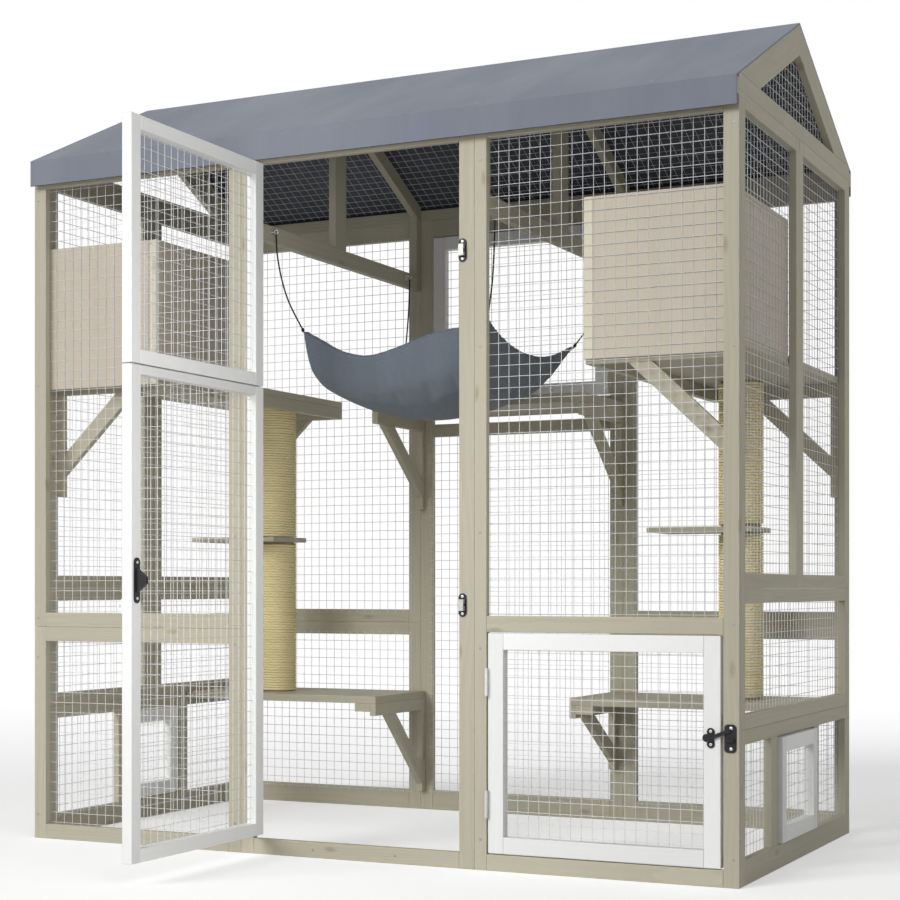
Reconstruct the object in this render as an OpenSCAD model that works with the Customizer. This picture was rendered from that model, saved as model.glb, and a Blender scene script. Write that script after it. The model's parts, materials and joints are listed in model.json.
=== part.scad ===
// Walk-in outdoor cat enclosure: timber frames with welded wire, a gable roof, a two-leaf door,
// hatches, platforms, cubbies, sisal posts and a hanging hammock. Millimetres, +Z up.
// The origin lies under the front sill, midway along it and midway through its thickness.

/* [Body] */
// Width over the side walls
body_w = 1850; // [1750:10:2000]
// Depth over the front and back walls
body_d = 985; // [960:5:1100]
// Height of the wall frames
wall_h = 1690; // [1680:5:1740]
// Height of the ridge over the floor
ridge_h = 1966; // [1940:2:2040]
// Width of the middle bay, seam to seam
middle_bay_w = 617; // [600:1:660]
// Thickness of the wall boards
frame_t = 18; // [16:0.5:20]

/* [Wall boards] */
// Width of the corner stiles
corner_w = 35; // [30:1:38]
// Width of the stile that carries the door hinges
hinge_post_w = 35; // [30:1:38]
// Width of the stile that carries the door keepers
latch_post_w = 38; // [34:1:40]
// Width of the stile that carries the front hatch
hatch_stile_w = 30; // [28:1:36]
// Width of the stiles of the back frames at the bay seams
back_stile_w = 38; // [32:1:42]
// Height of the front sill
sill_h = 37; // [32:1:42]
// Height of the rails
rail_h = 36; // [30:1:38]
// Height of the front top rails, mostly behind the fascia
top_rail_h = 41; // [38:1:50]
// Height of the back top rails
back_top_rail_h = 50; // [44:1:56]
// Height of the bottom rails of the back and side walls
base_rail_h = 55; // [45:1:60]
// Height of the lower frames in the front and back walls
low_frame_h = 537; // [520:1:560]
// Joint line left between two boards
seam = 0.3; // [0.2:0.1:0.5]

/* [Side walls] */
// Height of the bottom side frame
side_low_h = 333; // [320:1:350]
// Height to the top of the middle side frame
side_mid_h = 635; // [600:1:660]
// Height of the side rails
side_rail_h = 32; // [28:1:36]
// Width of the end stiles of the side frames
side_stile_w = 28; // [24:1:34]
// Width of the two stiles that meet at mid depth
side_mid_stile_w = 31; // [28:1:36]
// Width of the front stile of the left side frames
left_front_stile_w = 54; // [40:1:60]
// Width of the two stiles that meet at mid depth on the left
left_mid_stile_w = 45; // [36:1:48]
// Width of the stile in front of a small door
small_stile_w = 55; // [36:1:60]
// Width of the stile behind a small door
small_back_stile_w = 41; // [36:1:50]
// Distance from the front face to the right small door's opening
small_door_y = 302; // [290:1:310]
// Width of the right small door's opening
small_open_w = 325; // [300:1:340]
// Distance from the front face to the left small door's opening
left_door_y = 390; // [370:1:400]
// Width of the left small door's opening
left_open_w = 237; // [220:1:260]

/* [Roof] */
// Height of the bend where the roof turns down
eave_h = 1718; // [1712:1:1740]
// Height of the turned-down edge
fascia_h = 64; // [55:1:75]
// How far the roof stands out in front and behind
roof_overhang = 17; // [12:1:22]
// Thickness of the roof sheet
roof_t = 3; // [2:0.5:4]
// Width of the gable rafters
gable_rafter_w = 66; // [56:1:70]
// Width of the rafters of the two inner trusses
truss_rafter_w = 40; // [34:1:46]
// Thickness of the truss boards
truss_t = 20; // [16:1:24]
// How far the middle of a truss lies outside its bay seam
truss_out = 9; // [4:1:9]
// Height to the underside of the truss beam
beam_z = 1488; // [1470:1:1500]
// Height of the truss beam
beam_h = 42; // [36:1:48]
// Width of the truss legs
truss_leg_w = 30; // [24:1:36]
// Width of the king post
king_w = 60; // [50:1:66]
// Width of the ridge beam
ridge_beam_w = 18; // [14:1:22]

/* [Wire mesh] */
// Thickness of the welded wire
mesh_t = 1.6; // [1.2:0.1:2]
// Spacing of the real wires
wire_pitch = 25.4; // [25:0.1:26]
// Wires from one drawn bar to the next
wires_per_bar = 5; // [4:1:6]
// Width of a drawn bar
mesh_bar = 3; // [2:0.5:4]
// How far the wire laps over the boards behind
mesh_lap = 10; // [6:1:12]

/* [White doors] */
// Thickness of the door and hatch boards
leaf_t = 25; // [22:0.5:27]
// Width of the main door's stiles
leaf_stile_w = 34; // [30:1:38]
// Height of the main door's rails
leaf_rail_h = 30; // [26:1:36]
// Height of the rail on top of the lower leaf
meeting_rail_h = 20; // [18:1:30]
// Height of the seam between the two leaves
leaf_seam_z = 1114; // [1000:1:1150]
// Gap at the hinge edge
hinge_gap = 4; // [3.6:0.1:5]
// Gap at the latch edge
latch_gap = 6; // [4:0.5:7]
// Gap above and below a door
edge_gap = 3; // [2:0.5:4]
// Gap between the main door and the sill
door_sill_gap = 12; // [4:1:15]
// Width of the boards of the two hatches
hatch_board_w = 37; // [32:1:42]
// Width of the boards of the small doors
small_board_w = 35; // [30:1:40]
// How far the small doors stand proud of the wall
small_proud = 10; // [7:0.5:12]
// Angle at which the main door stands open
door_open = 90; // [60:1:95]
// Height to the underside of the rear hatch opening
rear_sill_z = 1164; // [1150:1:1180]
// Height to the top of the rail under the middle shelf
shelf_rail_z = 1104; // [1090:1:1110]

/* [Hinges and latches] */
// Distance of the hinge pins in front of the face they swing from
pin_off = 6; // [5.5:0.1:8]
// Diameter of the hinge pins
pin_d = 4.4; // [3.6:0.1:5]
// Clearance around a pin
pin_play = 0.05; // [0.03:0.01:0.08]
// Outer diameter of the hinge knuckles
knuckle_d = 9; // [7.5:0.1:9.5]
// Length of a hinge
hinge_l = 60; // [50:1:70]
// Thickness of a hinge leaf
hinge_t = 1.4; // [1.2:0.1:1.6]
// Width of a hinge leaf on the board's edge
hinge_leaf_w = 15; // [12:0.5:16]
// Distance from a door's end to the middle of its hinge
hinge_inset = 110; // [80:1:120]
// Height of the keeper and the bolt of the upper leaf
upper_bolt_z = 1400; // [1300:1:1450]
// Height of the keeper and the bolt of the lower leaf
lower_bolt_z = 597; // [560:1:620]
// Diameter of the bolts
bolt_d = 7; // [6:0.5:8]
// Travel of the bolts
bolt_travel = 15; // [14:0.5:16]
// Clearance of sliding and turning hardware
run_gap = 0.4; // [0.3:0.05:0.6]
// Distance from a small door's end to the middle of its hinge
small_hinge_inset = 60; // [50:1:65]
// Height to the middle of the lever on the lower leaf
lever_z = 652; // [620:1:700]
// Height to the middle of the front hatch latch
hatch_latch_z = 317; // [250:1:400]
// Angle at which the hatch latch arm is left lifted
arm_lift = 22; // [18:1:40]
// Diameter of a screw head
screw_d = 7; // [5:0.5:8]
// Height of a screw head
screw_h = 0.8; // [0.5:0.1:1.2]

/* [Furniture] */
// Gap between furniture and wire
fit_gap = 0.4; // [0.3:0.05:0.6]
// Width of the high platforms
platform_w = 340; // [300:1:360]
// Height to the underside of the platform boards
platform_z = 1163; // [1150:1:1175]
// Thickness of the platform boards
board_t = 17; // [15:1:20]
// Height to the top of the cubbies
cubby_top_z = 1498; // [1450:1:1550]
// Depth of the cubbies from front to back
cubby_d = 440; // [380:1:480]
// How far the cubby's front panel hangs below the platform
cubby_drop = 23; // [15:1:30]
// Thickness of the cubby panels
panel_t = 10; // [8:1:12]
// Width of the square corner battens of the cubbies
batten_w = 22; // [18:1:25]
// Thickness of the bracket boards
bracket_t = 18; // [15:1:20]
// Width of the diagonal braces
brace_w = 38; // [30:1:42]
// Height of the bracket arms
arm_h = 33; // [28:1:36]
// Width of the upright bracket battens
upright_w = 20; // [16:1:24]
// Height of the upright battens under the high platforms
platform_upright_h = 293; // [270:1:310]
// Drop of the braces under the high platforms
platform_brace_h = 240; // [225:1:260]
// Distance from a high platform's free edge to its braces
platform_brace_in = 100; // [90:1:110]
// How far the left platform's front bracket sits behind the cubby's front
left_bracket_in = 34; // [0:1:40]
// Depth of the lower shelves
low_shelf_d = 305; // [280:1:320]
// Length of the left lower shelf
low_shelf_l = 612; // [580:1:630]
// Length of the right lower shelf
right_shelf_l = 631; // [600:1:640]
// Height to the top of the left lower shelf
low_shelf_z = 340; // [336:1:360]
// How much higher the right lower shelf sits
right_shelf_rise = 11; // [0:1:16]
// Thickness of the lower shelf boards
shelf_t = 20; // [16:1:22]
// Length of the middle shelf
mid_shelf_l = 622; // [600:1:630]
// Depth of the middle shelf
mid_shelf_d = 294; // [270:1:300]
// Height to the top of the middle shelf
mid_shelf_z = 1143; // [1138:1:1146]
// Thickness of the middle shelf
mid_shelf_t = 25; // [20:1:26]
// Height of the uprights under the middle shelf
mid_upright_h = 258; // [240:1:280]
// Drop of the braces under the middle shelf
mid_brace_h = 225; // [210:1:240]
// Distance from the middle shelf's front edge to its braces
mid_brace_in = 40; // [30:1:50]
// Drop of the brace under the left lower shelf
left_brace_h = 245; // [235:1:260]
// Drop of the brace under the right lower shelf
right_brace_h = 170; // [160:1:180]
// Distance from a lower shelf's front edge to its brace
low_brace_in = 70; // [60:1:80]
// Length of the block under a lower shelf's front edge
low_block_l = 47; // [40:1:60]

/* [Sisal posts] */
// Diameter over the rope
post_d = 115; // [100:1:120]
// Diameter of the sisal rope
rope_d = 7; // [6:0.5:8]
// Distance from the post's axis to the side wall's outer face
post_x = 235; // [225:1:245]
// Distance from the post's axis to the back wall's inner face
post_y = 167; // [150:1:170]
// Turns of rope drawn on each stretch
rope_turns = 6; // [4:1:6]
// Height to the underside of the left step board
step_z = 767; // [700:1:800]
// How much higher the right step board sits
right_step_rise = 10; // [0:1:20]
// Thickness of the step boards
step_t = 13; // [10:1:15]
// Length of the step boards
step_l = 274; // [250:1:274]
// Depth of the step boards
step_d = 183; // [160:1:200]
// How far both steps are shifted to the left of their posts
step_shift = 77; // [60:1:77]
// How far the steps are shifted in front of their posts
step_forward = 24; // [0:1:30]

/* [Hammock] */
// Half the distance between corners along the width
hammock_hx = 250; // [230:1:255]
// Half the distance between corners along the depth
hammock_hy = 275; // [250:1:280]
// How far the middle of the hammock hangs in front of mid depth
hammock_forward = 17; // [10:1:25]
// Height of the corners
hammock_z = 1270; // [1268:1:1290]
// Sag of the edges
rim_sag = 52; // [45:1:60]
// Depth of the bag below the edges
bowl_depth = 143; // [125:1:150]
// Thickness of the cloth
cloth_t = 3; // [2:0.5:4]
// Diameter of the cords
cord_d = 4; // [3:0.5:5]
// Height of the hooks on the beams
hook_z = 1514; // [1508:1:1518]
// Distance from the front face to the front hooks
front_hook_y = 142; // [130:1:150]
// Distance from the back face to the back hooks
back_hook_y = 115; // [105:1:135]

/* [Hidden] */

$fn = 32;

frame_color = "#beb69e";
door_color = "#f4f4f2";
roof_color = "#858b9b";
wire_color = "#c9cbcc";
panel_color = "#c8beaf";
steel_color = "#b8babc";
black_color = "#1c1c1e";
sisal_color = "#c8b778";
core_color = "#b39a63";
cloth_color = "#586270";

// Outer and inner faces of the four walls
x0 = -body_w / 2;
x1 = body_w / 2;
y0 = -frame_t / 2;
y1 = y0 + body_d;
yc = (y0 + y1) / 2;
xi0 = x0 + frame_t;
xi1 = x1 - frame_t;
yi0 = y0 + frame_t;
yi1 = y1 - frame_t;

// Seams of the bays
xa = -middle_bay_w / 2;
xb = middle_bay_w / 2;

// Doorway, hatch openings and the small door's opening
door_x0 = xa + hinge_post_w;
door_x1 = xb - latch_post_w;
door_z0 = sill_h;
door_z1 = wall_h - top_rail_h;
hatch_x0 = xb + hatch_stile_w;
hatch_x1 = x1 - corner_w;
hatch_z0 = sill_h;
hatch_z1 = low_frame_h;
rear_x0 = xa + back_stile_w;
rear_x1 = xb - back_stile_w;
rear_z0 = rear_sill_z;
rear_z1 = wall_h - back_top_rail_h;
function door_y(side) = y0 + (side > 0 ? small_door_y : left_door_y);
function open_w(side) = side > 0 ? small_open_w : left_open_w;
small_z0 = base_rail_h;
small_z1 = side_low_h - side_rail_h;

// Sizes of the doors in their openings
leaf_w = door_x1 - door_x0 - hinge_gap - latch_gap;
hatch_w = hatch_x1 - hatch_x0 - hinge_gap - latch_gap;
hatch_h = hatch_z1 - hatch_z0 - 2 * edge_gap;
rear_w = rear_x1 - rear_x0 - hinge_gap - latch_gap;
rear_h = rear_z1 - rear_z0 - 2 * edge_gap;
small_gap = 8;
function small_w(side) = open_w(side) - hinge_gap - small_gap;
small_h = small_z1 - small_z0 - 2 * edge_gap;
lower_z0 = door_z0 + door_sill_gap;
lower_h = leaf_seam_z - edge_gap / 2 - lower_z0;
upper_z0 = leaf_seam_z + edge_gap / 2;
upper_h = door_z1 - edge_gap - upper_z0;

// Pins: the doors and the front hatch swing out, the small doors swing in
door_pin = [door_x0 + hinge_gap / 2, y0 - pin_off];
hatch_pin = [hatch_x0 + hinge_gap / 2, y0 - pin_off];
rear_pin = [rear_x1 - hinge_gap / 2, y1 + pin_off];
small_leaf_x = x1 + small_proud - leaf_t;
function small_pin_y(side) = door_y(side) + hinge_gap / 2;

// Roof
roof_run = yc - (y0 - roof_overhang);
roof_a = atan((ridge_h - eave_h) / roof_run);
sheet_play = 0.05;
mesh_drop = roof_t + fit_gap;
truss_drop = mesh_drop + mesh_t + fit_gap;
gable_z = wall_h + seam;
gable_rail_top = gable_z + side_rail_h + 5;
bar_pitch = wire_pitch * wires_per_bar;

// Furniture
wall_gap = mesh_t + fit_gap;
fx = xi1 - wall_gap;
fy0 = yi0 + wall_gap;
fy1 = yi1 - wall_gap;
cubby_y0 = fy0 + panel_t + fit_gap;
platform_x0 = fx - platform_w;
platform_top = platform_z + board_t;
core_d = post_d - 2 * rope_d - 2 * fit_gap;
post_cx = x1 - post_x;
post_cy = yi1 - post_y;

// Hammock
hc = yc - hammock_forward;
truss_x = xb + truss_out;
beam_face = truss_x - truss_t / 2;
hook_reach = 12;
hook_r = 5;
hook_wire = 3;
cord_lift = 1.2;
rope_ring = 24;

// Height of the line that runs a given distance below the top of the roof
function roof_z(y, drop) = ridge_h - tan(roof_a) * abs(y - yc) - drop / cos(roof_a);
// Distance from mid depth at which that line has a given height
function roof_reach(z, drop) = (ridge_h - drop / cos(roof_a) - z) / tan(roof_a);

module block(lo, hi) {
    translate(lo)
        cube(hi - lo);
}

// Frame in the XZ plane: stiles of the full height, rails between them
module frame_xz(x, z, y, stiles, rails) {
    block([x[0], y[0], z[0]], [x[0] + stiles[0], y[1], z[1]]);
    block([x[1] - stiles[1], y[0], z[0]], [x[1], y[1], z[1]]);
    rail_x0 = x[0] + stiles[0] + seam;
    rail_x1 = x[1] - stiles[1] - seam;
    block([rail_x0, y[0], z[0]], [rail_x1, y[1], z[0] + rails[0]]);
    block([rail_x0, y[0], z[1] - rails[1]], [rail_x1, y[1], z[1]]);
}

// The same frame in the YZ plane
module frame_yz(y, z, x, stiles, rails) {
    block([x[0], y[0], z[0]], [x[1], y[0] + stiles[0], z[1]]);
    block([x[0], y[1] - stiles[1], z[0]], [x[1], y[1], z[1]]);
    rail_y0 = y[0] + stiles[0] + seam;
    rail_y1 = y[1] - stiles[1] - seam;
    block([x[0], rail_y0, z[0]], [x[1], rail_y1, z[0] + rails[0]]);
    block([x[0], rail_y0, z[1] - rails[1]], [x[1], rail_y1, z[1]]);
}

// Outline in the YZ plane, drawn out along X
module slab_yz(x, points) {
    translate([x[0], 0, 0])
        rotate([90, 0, 90])
            linear_extrude(x[1] - x[0])
                polygon(points);
}

// Flat grid, w by h
module grid_2d(w, h) {
    nx = max(1, round(w / bar_pitch));
    nh = max(1, round(h / bar_pitch));
    step_x = (w - mesh_bar) / nx;
    step_h = (h - mesh_bar) / nh;
    difference() {
        square([w, h]);
        for (i = [0:nx - 1], j = [0:nh - 1])
            translate([mesh_bar + i * step_x, mesh_bar + j * step_h])
                square([step_x - mesh_bar, step_h - mesh_bar]);
    }
}

// Wire over a window of the front or back wall; y is the wire's outer face
module mesh_xz(x, z, y, lap = mesh_lap) {
    translate([x[0] - lap, y + mesh_t, z[0] - lap])
        rotate([90, 0, 0])
            linear_extrude(mesh_t)
                grid_2d(x[1] - x[0] + 2 * lap, z[1] - z[0] + 2 * lap);
}

// Wire over a window of a side wall; x is its lower face
module mesh_yz(y, z, x, lap = mesh_lap) {
    translate([x, y[0] - lap, z[0] - lap])
        rotate([90, 0, 90])
            linear_extrude(mesh_t)
                grid_2d(y[1] - y[0] + 2 * lap, z[1] - z[0] + 2 * lap);
}

// Local frame of the front slope: Y runs down from the ridge, Z points out of the roof
module front_slope() {
    translate([0, yc, ridge_h])
        rotate([roof_a, 0, 0])
            mirror([0, 1, 0])
                children();
}

module back_slope() {
    translate([0, 2 * yc, 0])
        mirror([0, 1, 0])
            front_slope()
                children();
}

module mirror_x() {
    mirror([1, 0, 0])
        children();
}

// Front wall
module front_left_frames() {
    color(frame_color) {
        frame_xz([x0, xa], [0, low_frame_h], [y0, yi0], [corner_w, corner_w], [sill_h, rail_h]);
        frame_xz([x0, xa], [low_frame_h + seam, wall_h], [y0, yi0],
            [corner_w, corner_w], [rail_h, top_rail_h]);
    }
}

module door_surround() {
    color(frame_color)
        frame_xz([xa + seam, xb], [0, wall_h], [y0, yi0], [hinge_post_w - seam, latch_post_w],
            [sill_h, top_rail_h]);
}

module front_right_frame() {
    color(frame_color) {
        frame_xz([xb + seam, x1], [0, wall_h], [y0, yi0], [hatch_stile_w - seam, corner_w],
            [sill_h, top_rail_h]);
        block([hatch_x0 + seam, y0, low_frame_h], [hatch_x1 - seam, yi0, low_frame_h + rail_h]);
    }
}

// Back wall
module back_outer_frames() {
    frame_xz([xb + seam, x1], [0, low_frame_h], [yi1, y1], [back_stile_w, corner_w],
        [base_rail_h, rail_h]);
    frame_xz([xb + seam, x1], [low_frame_h + seam, wall_h], [yi1, y1],
        [back_stile_w, corner_w], [rail_h, back_top_rail_h]);
}

module back_left_frames() {
    color(frame_color)
        mirror_x()
            back_outer_frames();
}

module back_middle_frame() {
    color(frame_color) {
        frame_xz([xa, xb], [0, wall_h], [yi1, y1], [back_stile_w, back_stile_w],
            [base_rail_h, back_top_rail_h]);
        for (top = [shelf_rail_z, rear_sill_z])
            block([rear_x0 + seam, yi1, top - rail_h], [rear_x1 - seam, y1, top]);
    }
}

module back_right_frames() {
    color(frame_color)
        back_outer_frames();
}

// Side walls, drawn on the right. The left one (side -1) has wider stiles, and a pair of them
// also parts its middle frame.
function front_stile(side) = side > 0 ? side_stile_w : left_front_stile_w;
function mid_stile(side) = side > 0 ? side_mid_stile_w : left_mid_stile_w;

module side_frames(side) {
    y = [yi0 + seam, yi1 - seam];
    x = [xi1, x1];
    ends = [front_stile(side), side_stile_w];
    rails = [side_rail_h, side_rail_h];
    door = door_y(side);
    door_end = door + open_w(side);
    door_z = [small_z0 + seam, small_z1 - seam];
    frame_yz(y, [0, side_low_h], x, ends, [base_rail_h, side_rail_h]);
    block([xi1, door - small_stile_w, door_z[0]], [x1, door, door_z[1]]);
    block([xi1, door_end, door_z[0]], [x1, door_end + small_back_stile_w, door_z[1]]);
    middle_z = [side_low_h + seam, side_mid_h];
    upper_z = [side_mid_h + seam, wall_h];
    if (side > 0)
        frame_yz(y, middle_z, x, ends, rails);
    else
        halves_yz(y, middle_z, x, ends, rails, mid_stile(side));
    halves_yz(y, upper_z, x, ends, rails, mid_stile(side));
}

// Two frames side by side that meet at mid depth
module halves_yz(y, z, x, ends, rails, mid_w) {
    frame_yz([y[0], yc - seam / 2], z, x, [ends[0], mid_w], rails);
    frame_yz([yc + seam / 2, y[1]], z, x, [mid_w, ends[1]], rails);
}

module left_side_frames() {
    color(frame_color)
        mirror_x()
            side_frames(-1);
}

module right_side_frames() {
    color(frame_color)
        side_frames(1);
}

// Gable: a rail cut to the roof line and two rafters
module gable() {
    under = roof_t + sheet_play;
    rail_reach = roof_reach(gable_rail_top, under);
    foot = gable_rail_top + seam;
    slab_yz([xi1, x1], [
        [y0, gable_z], [y1, gable_z], [y1, roof_z(y1, under)],
        [yc + rail_reach, gable_rail_top], [yc - rail_reach, gable_rail_top],
        [y0, roof_z(y0, under)]]);
    for (side = [-1, 1])
        slab_yz([xi1, x1], [
            [yc + side * roof_reach(foot, under), foot],
            [yc + side * seam / 2, roof_z(yc + seam / 2, under)],
            [yc + side * seam / 2, roof_z(yc + seam / 2, under + gable_rafter_w)],
            [yc + side * roof_reach(foot, under + gable_rafter_w), foot]]);
}

module left_gable() {
    color(frame_color)
        mirror_x()
            gable();
}

module right_gable() {
    color(frame_color)
        gable();
}

// Truss: legs on the front and back posts, a beam, a king post and two rafters
module truss() {
    x = [truss_x - truss_t / 2, truss_x + truss_t / 2];
    under = truss_drop + truss_rafter_w;
    leg_in = yi0 + truss_leg_w;
    mid = ridge_beam_w / 2 + seam;
    for (side = [-1, 1])
        slab_yz(x, [
            [yc + side * (yc - yi0 - seam), roof_z(yi0 + seam, truss_drop)],
            [yc + side * mid, roof_z(yc + mid, truss_drop)],
            [yc + side * mid, roof_z(yc + mid, under)],
            [yc + side * (yc - yi0 - seam), roof_z(yi0 + seam, under)]]);
    for (side = [-1, 1])
        slab_yz(x, [
            [yc + side * (yc - yi0), beam_z], [yc + side * (yc - leg_in), beam_z],
            [yc + side * (yc - leg_in), roof_z(leg_in, under) - seam],
            [yc + side * (yc - yi0), roof_z(yi0, under) - seam]]);
    block([x[0], leg_in + seam, beam_z], [x[1], 2 * yc - leg_in - seam, beam_z + beam_h]);
    king_top = roof_z(yc + king_w / 2, under) - seam;
    block([x[0], yc - king_w / 2, beam_z + beam_h + seam], [x[1], yc + king_w / 2, king_top]);
}

module roof_trusses() {
    color(frame_color) {
        truss();
        mirror_x()
            truss();
    }
}

// Eave beams on the walls, battens behind the fascias and a ridge beam
module roof_beams() {
    beam_x = [xi0 + seam, xi1 - seam];
    eave_top = roof_z(y0, truss_drop) - seam;
    batten_top = roof_z(y0 - roof_overhang, roof_t) - fit_gap;
    batten_y = y0 - roof_overhang + roof_t + seam;
    ridge_low = roof_z(yc, truss_drop + truss_rafter_w);
    edge = ridge_beam_w / 2;
    color(frame_color) {
        for (back = [0, 1])
            translate([0, back * 2 * yc, 0])
                mirror([0, back, 0]) {
                    block([beam_x[0], y0, gable_z], [beam_x[1], yi0, eave_top]);
                    block([x0, batten_y, batten_top - rail_h], [x1, y0 - seam, batten_top]);
                }
        slab_yz(beam_x, [
            [yc - edge, ridge_low], [yc + edge, ridge_low],
            [yc + edge, roof_z(yc + edge, truss_drop)], [yc, roof_z(yc, truss_drop)],
            [yc - edge, roof_z(yc - edge, truss_drop)]]);
    }
}

// Roof sheet: one slope and its turned-down edge
module roof_sheet() {
    out = y0 - roof_overhang;
    slab_yz([x0, x1], [
        [yc - seam / 2, roof_z(yc - seam / 2, 0)], [out, roof_z(out, 0)],
        [out, eave_h - fascia_h], [out + roof_t, eave_h - fascia_h],
        [out + roof_t, roof_z(out + roof_t, roof_t)],
        [yc - seam / 2, roof_z(yc - seam / 2, roof_t)]]);
}

module front_roof_sheet() {
    color(roof_color)
        roof_sheet();
}

module back_roof_sheet() {
    color(roof_color)
        translate([0, 2 * yc, 0])
            mirror([0, 1, 0])
                roof_sheet();
}

// Wire under both slopes, on top of the trusses
module ceiling_panel() {
    start = 8;
    length = (yc - y0) / cos(roof_a) - 2 * start;
    translate([xi0 + seam, start, -mesh_drop - mesh_t])
        linear_extrude(mesh_t)
            grid_2d(xi1 - xi0 - 2 * seam, length);
}

module ceiling_mesh() {
    color(wire_color) {
        front_slope()
            ceiling_panel();
        back_slope()
            ceiling_panel();
    }
}

// Wire on the inner side of the walls, drawn as every fifth wire
module side_meshes(side) {
    x = xi1 - mesh_t;
    y_front = yi0 + seam + front_stile(side);
    y_back = yi1 - seam - side_stile_w;
    y_halves = [[y_front, yc - mid_stile(side)], [yc + mid_stile(side), y_back]];
    door_end = door_y(side) + open_w(side);
    mesh_yz([y_front, door_y(side) - small_stile_w], [small_z0, small_z1], x);
    mesh_yz([door_end + small_back_stile_w, y_back], [small_z0, small_z1], x);
    for (y = side > 0 ? [[y_front, y_back]] : y_halves)
        mesh_yz(y, [side_low_h + side_rail_h, side_mid_h - side_rail_h], x);
    for (y = y_halves)
        mesh_yz(y, [side_mid_h + side_rail_h, wall_h - side_rail_h], x);
    inner = roof_t + gable_rafter_w - mesh_lap;
    foot = gable_rail_top - mesh_lap;
    reach = roof_reach(foot, inner);
    apex = roof_z(yc, inner);
    slope = (apex - foot) / reach;
    bars = 4;
    slab_yz_grid(x, reach, foot, slope, bars);
}

// Triangle of wire behind a gable, with upright gaps
module slab_yz_grid(x, reach, foot, slope, bars) {
    gap_w = 1.62 * reach / bars;
    translate([x, yc, foot])
        rotate([90, 0, 90])
            linear_extrude(mesh_t)
                difference() {
                    polygon([[-reach, 0], [reach, 0], [0, reach * slope]]);
                    for (i = [0:bars - 1]) {
                        a = -bars / 2 * gap_w + i * gap_w + mesh_bar / 2;
                        b = a + gap_w - mesh_bar;
                        top_a = (reach - abs(a)) * slope - 2 * mesh_bar;
                        top_b = (reach - abs(b)) * slope - 2 * mesh_bar;
                        polygon([[a, mesh_bar], [b, mesh_bar], [b, top_b], [a, top_a]]);
                    }
                }
}

module wall_mesh() {
    window_z0 = low_frame_h + rail_h;
    outer_x = [xb + seam + back_stile_w, x1 - corner_w];
    color(wire_color) {
        left_x = [x0 + corner_w, xa - corner_w];
        mesh_xz(left_x, [sill_h, low_frame_h - rail_h], yi0);
        mesh_xz(left_x, [window_z0, door_z1], yi0);
        mesh_xz([hatch_x0, hatch_x1], [window_z0, door_z1], yi0);
        for (side = [-1, 1])
            mirror([side < 0 ? 1 : 0, 0, 0]) {
                mesh_xz(outer_x, [base_rail_h, low_frame_h - rail_h], yi1 - mesh_t);
                mesh_xz(outer_x, [window_z0, rear_z1], yi1 - mesh_t);
                side_meshes(side);
            }
        mesh_xz([rear_x0, rear_x1], [base_rail_h, shelf_rail_z - rail_h], yi1 - mesh_t);
    }
}

// A door drawn shut: its hinge edge at x = 0, its outer face at y = 0, its foot at z = 0
module leaf_frame(w, h, stile, rail_low, rail_top) {
    frame_xz([0, w], [0, h], [0, leaf_t], [stile, stile], [rail_low, rail_top]);
}

module leaf_mesh(w, h, stile, rail_low, rail_top) {
    mesh_xz([stile, w - stile], [rail_low, h - rail_top], (leaf_t - mesh_t) / 2, -fit_gap);
}

// Hinge centres along a door of height h
function hinge_heights(h, inset) = [inset, h - inset];

// Half of a hinge, pin on the Z axis, leaf running to y = +reach on the x side given.
// The moving half holds the middle knuckle, the fixed half the two outer ones.
module hinge_half(side, moving) {
    third = hinge_l / 3;
    play = 0.3;
    reach = pin_off + hinge_leaf_w;
    edge = hinge_gap / 2;
    zs = moving ? [third / 2] : [third / 2 - third, third / 2 + third];
    leaf_x = side > 0 ? [edge - hinge_t, edge] : [-edge, -edge + hinge_t];
    difference() {
        union() {
            for (z = zs)
                translate([0, 0, z - third + play / 2])
                    cylinder(d = knuckle_d, h = third - play);
            if (moving) {
                block([leaf_x[0], 0, -third / 2 + play / 2], [leaf_x[1], reach, third / 2 - play / 2]);
                block([leaf_x[0], pin_off + 2, -hinge_l / 2], [leaf_x[1], reach, hinge_l / 2]);
            } else {
                for (z = [-third, third])
                    block([leaf_x[0], 0, z - third / 2 + play / 2],
                        [leaf_x[1], reach, z + third / 2 - play / 2]);
                block([leaf_x[0], pin_off + 2, -hinge_l / 2], [leaf_x[1], reach, hinge_l / 2]);
            }
        }
        translate([0, 0, -hinge_l])
            cylinder(d = pin_d + 2 * pin_play, h = 2 * hinge_l);
    }
}

// Pin with a low head at each end
module hinge_pin() {
    head = 1.5;
    translate([0, 0, -hinge_l / 2])
        cylinder(d = pin_d, h = hinge_l);
    for (z = [-hinge_l / 2 - head, hinge_l / 2])
        translate([0, 0, z])
            cylinder(d = knuckle_d - 1, h = head);
}

// Places of the doors: a child drawn shut is put in its opening
module at_leaf(z) {
    translate([door_pin[0], door_pin[1], z])
        rotate([0, 0, -door_open])
            translate([hinge_gap / 2, pin_off, 0])
                children();
}

module at_hatch() {
    translate([hatch_pin[0] + hinge_gap / 2, y0, hatch_z0 + edge_gap])
        children();
}

module at_rear() {
    translate([rear_pin[0] - hinge_gap / 2, y1, rear_z0 + edge_gap])
        rotate([0, 0, 180])
            children();
}

// The small door swings in: its local face, where the pin is, looks into the cage
module at_small(face_x, side) {
    translate([face_x, small_pin_y(side) + hinge_gap / 2, small_z0 + edge_gap])
        rotate([0, 0, 90])
            mirror([0, 1, 0])
                children();
}

// Hinges of a door, in the door's own frame
module hinges(h, inset, moving) {
    for (z = hinge_heights(h, inset))
        translate([-hinge_gap / 2, -pin_off, z])
            hinge_half(moving ? 1 : -1, moving);
}

module pins(h, inset) {
    for (z = hinge_heights(h, inset))
        translate([-hinge_gap / 2, -pin_off, z])
            hinge_pin();
}

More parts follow.
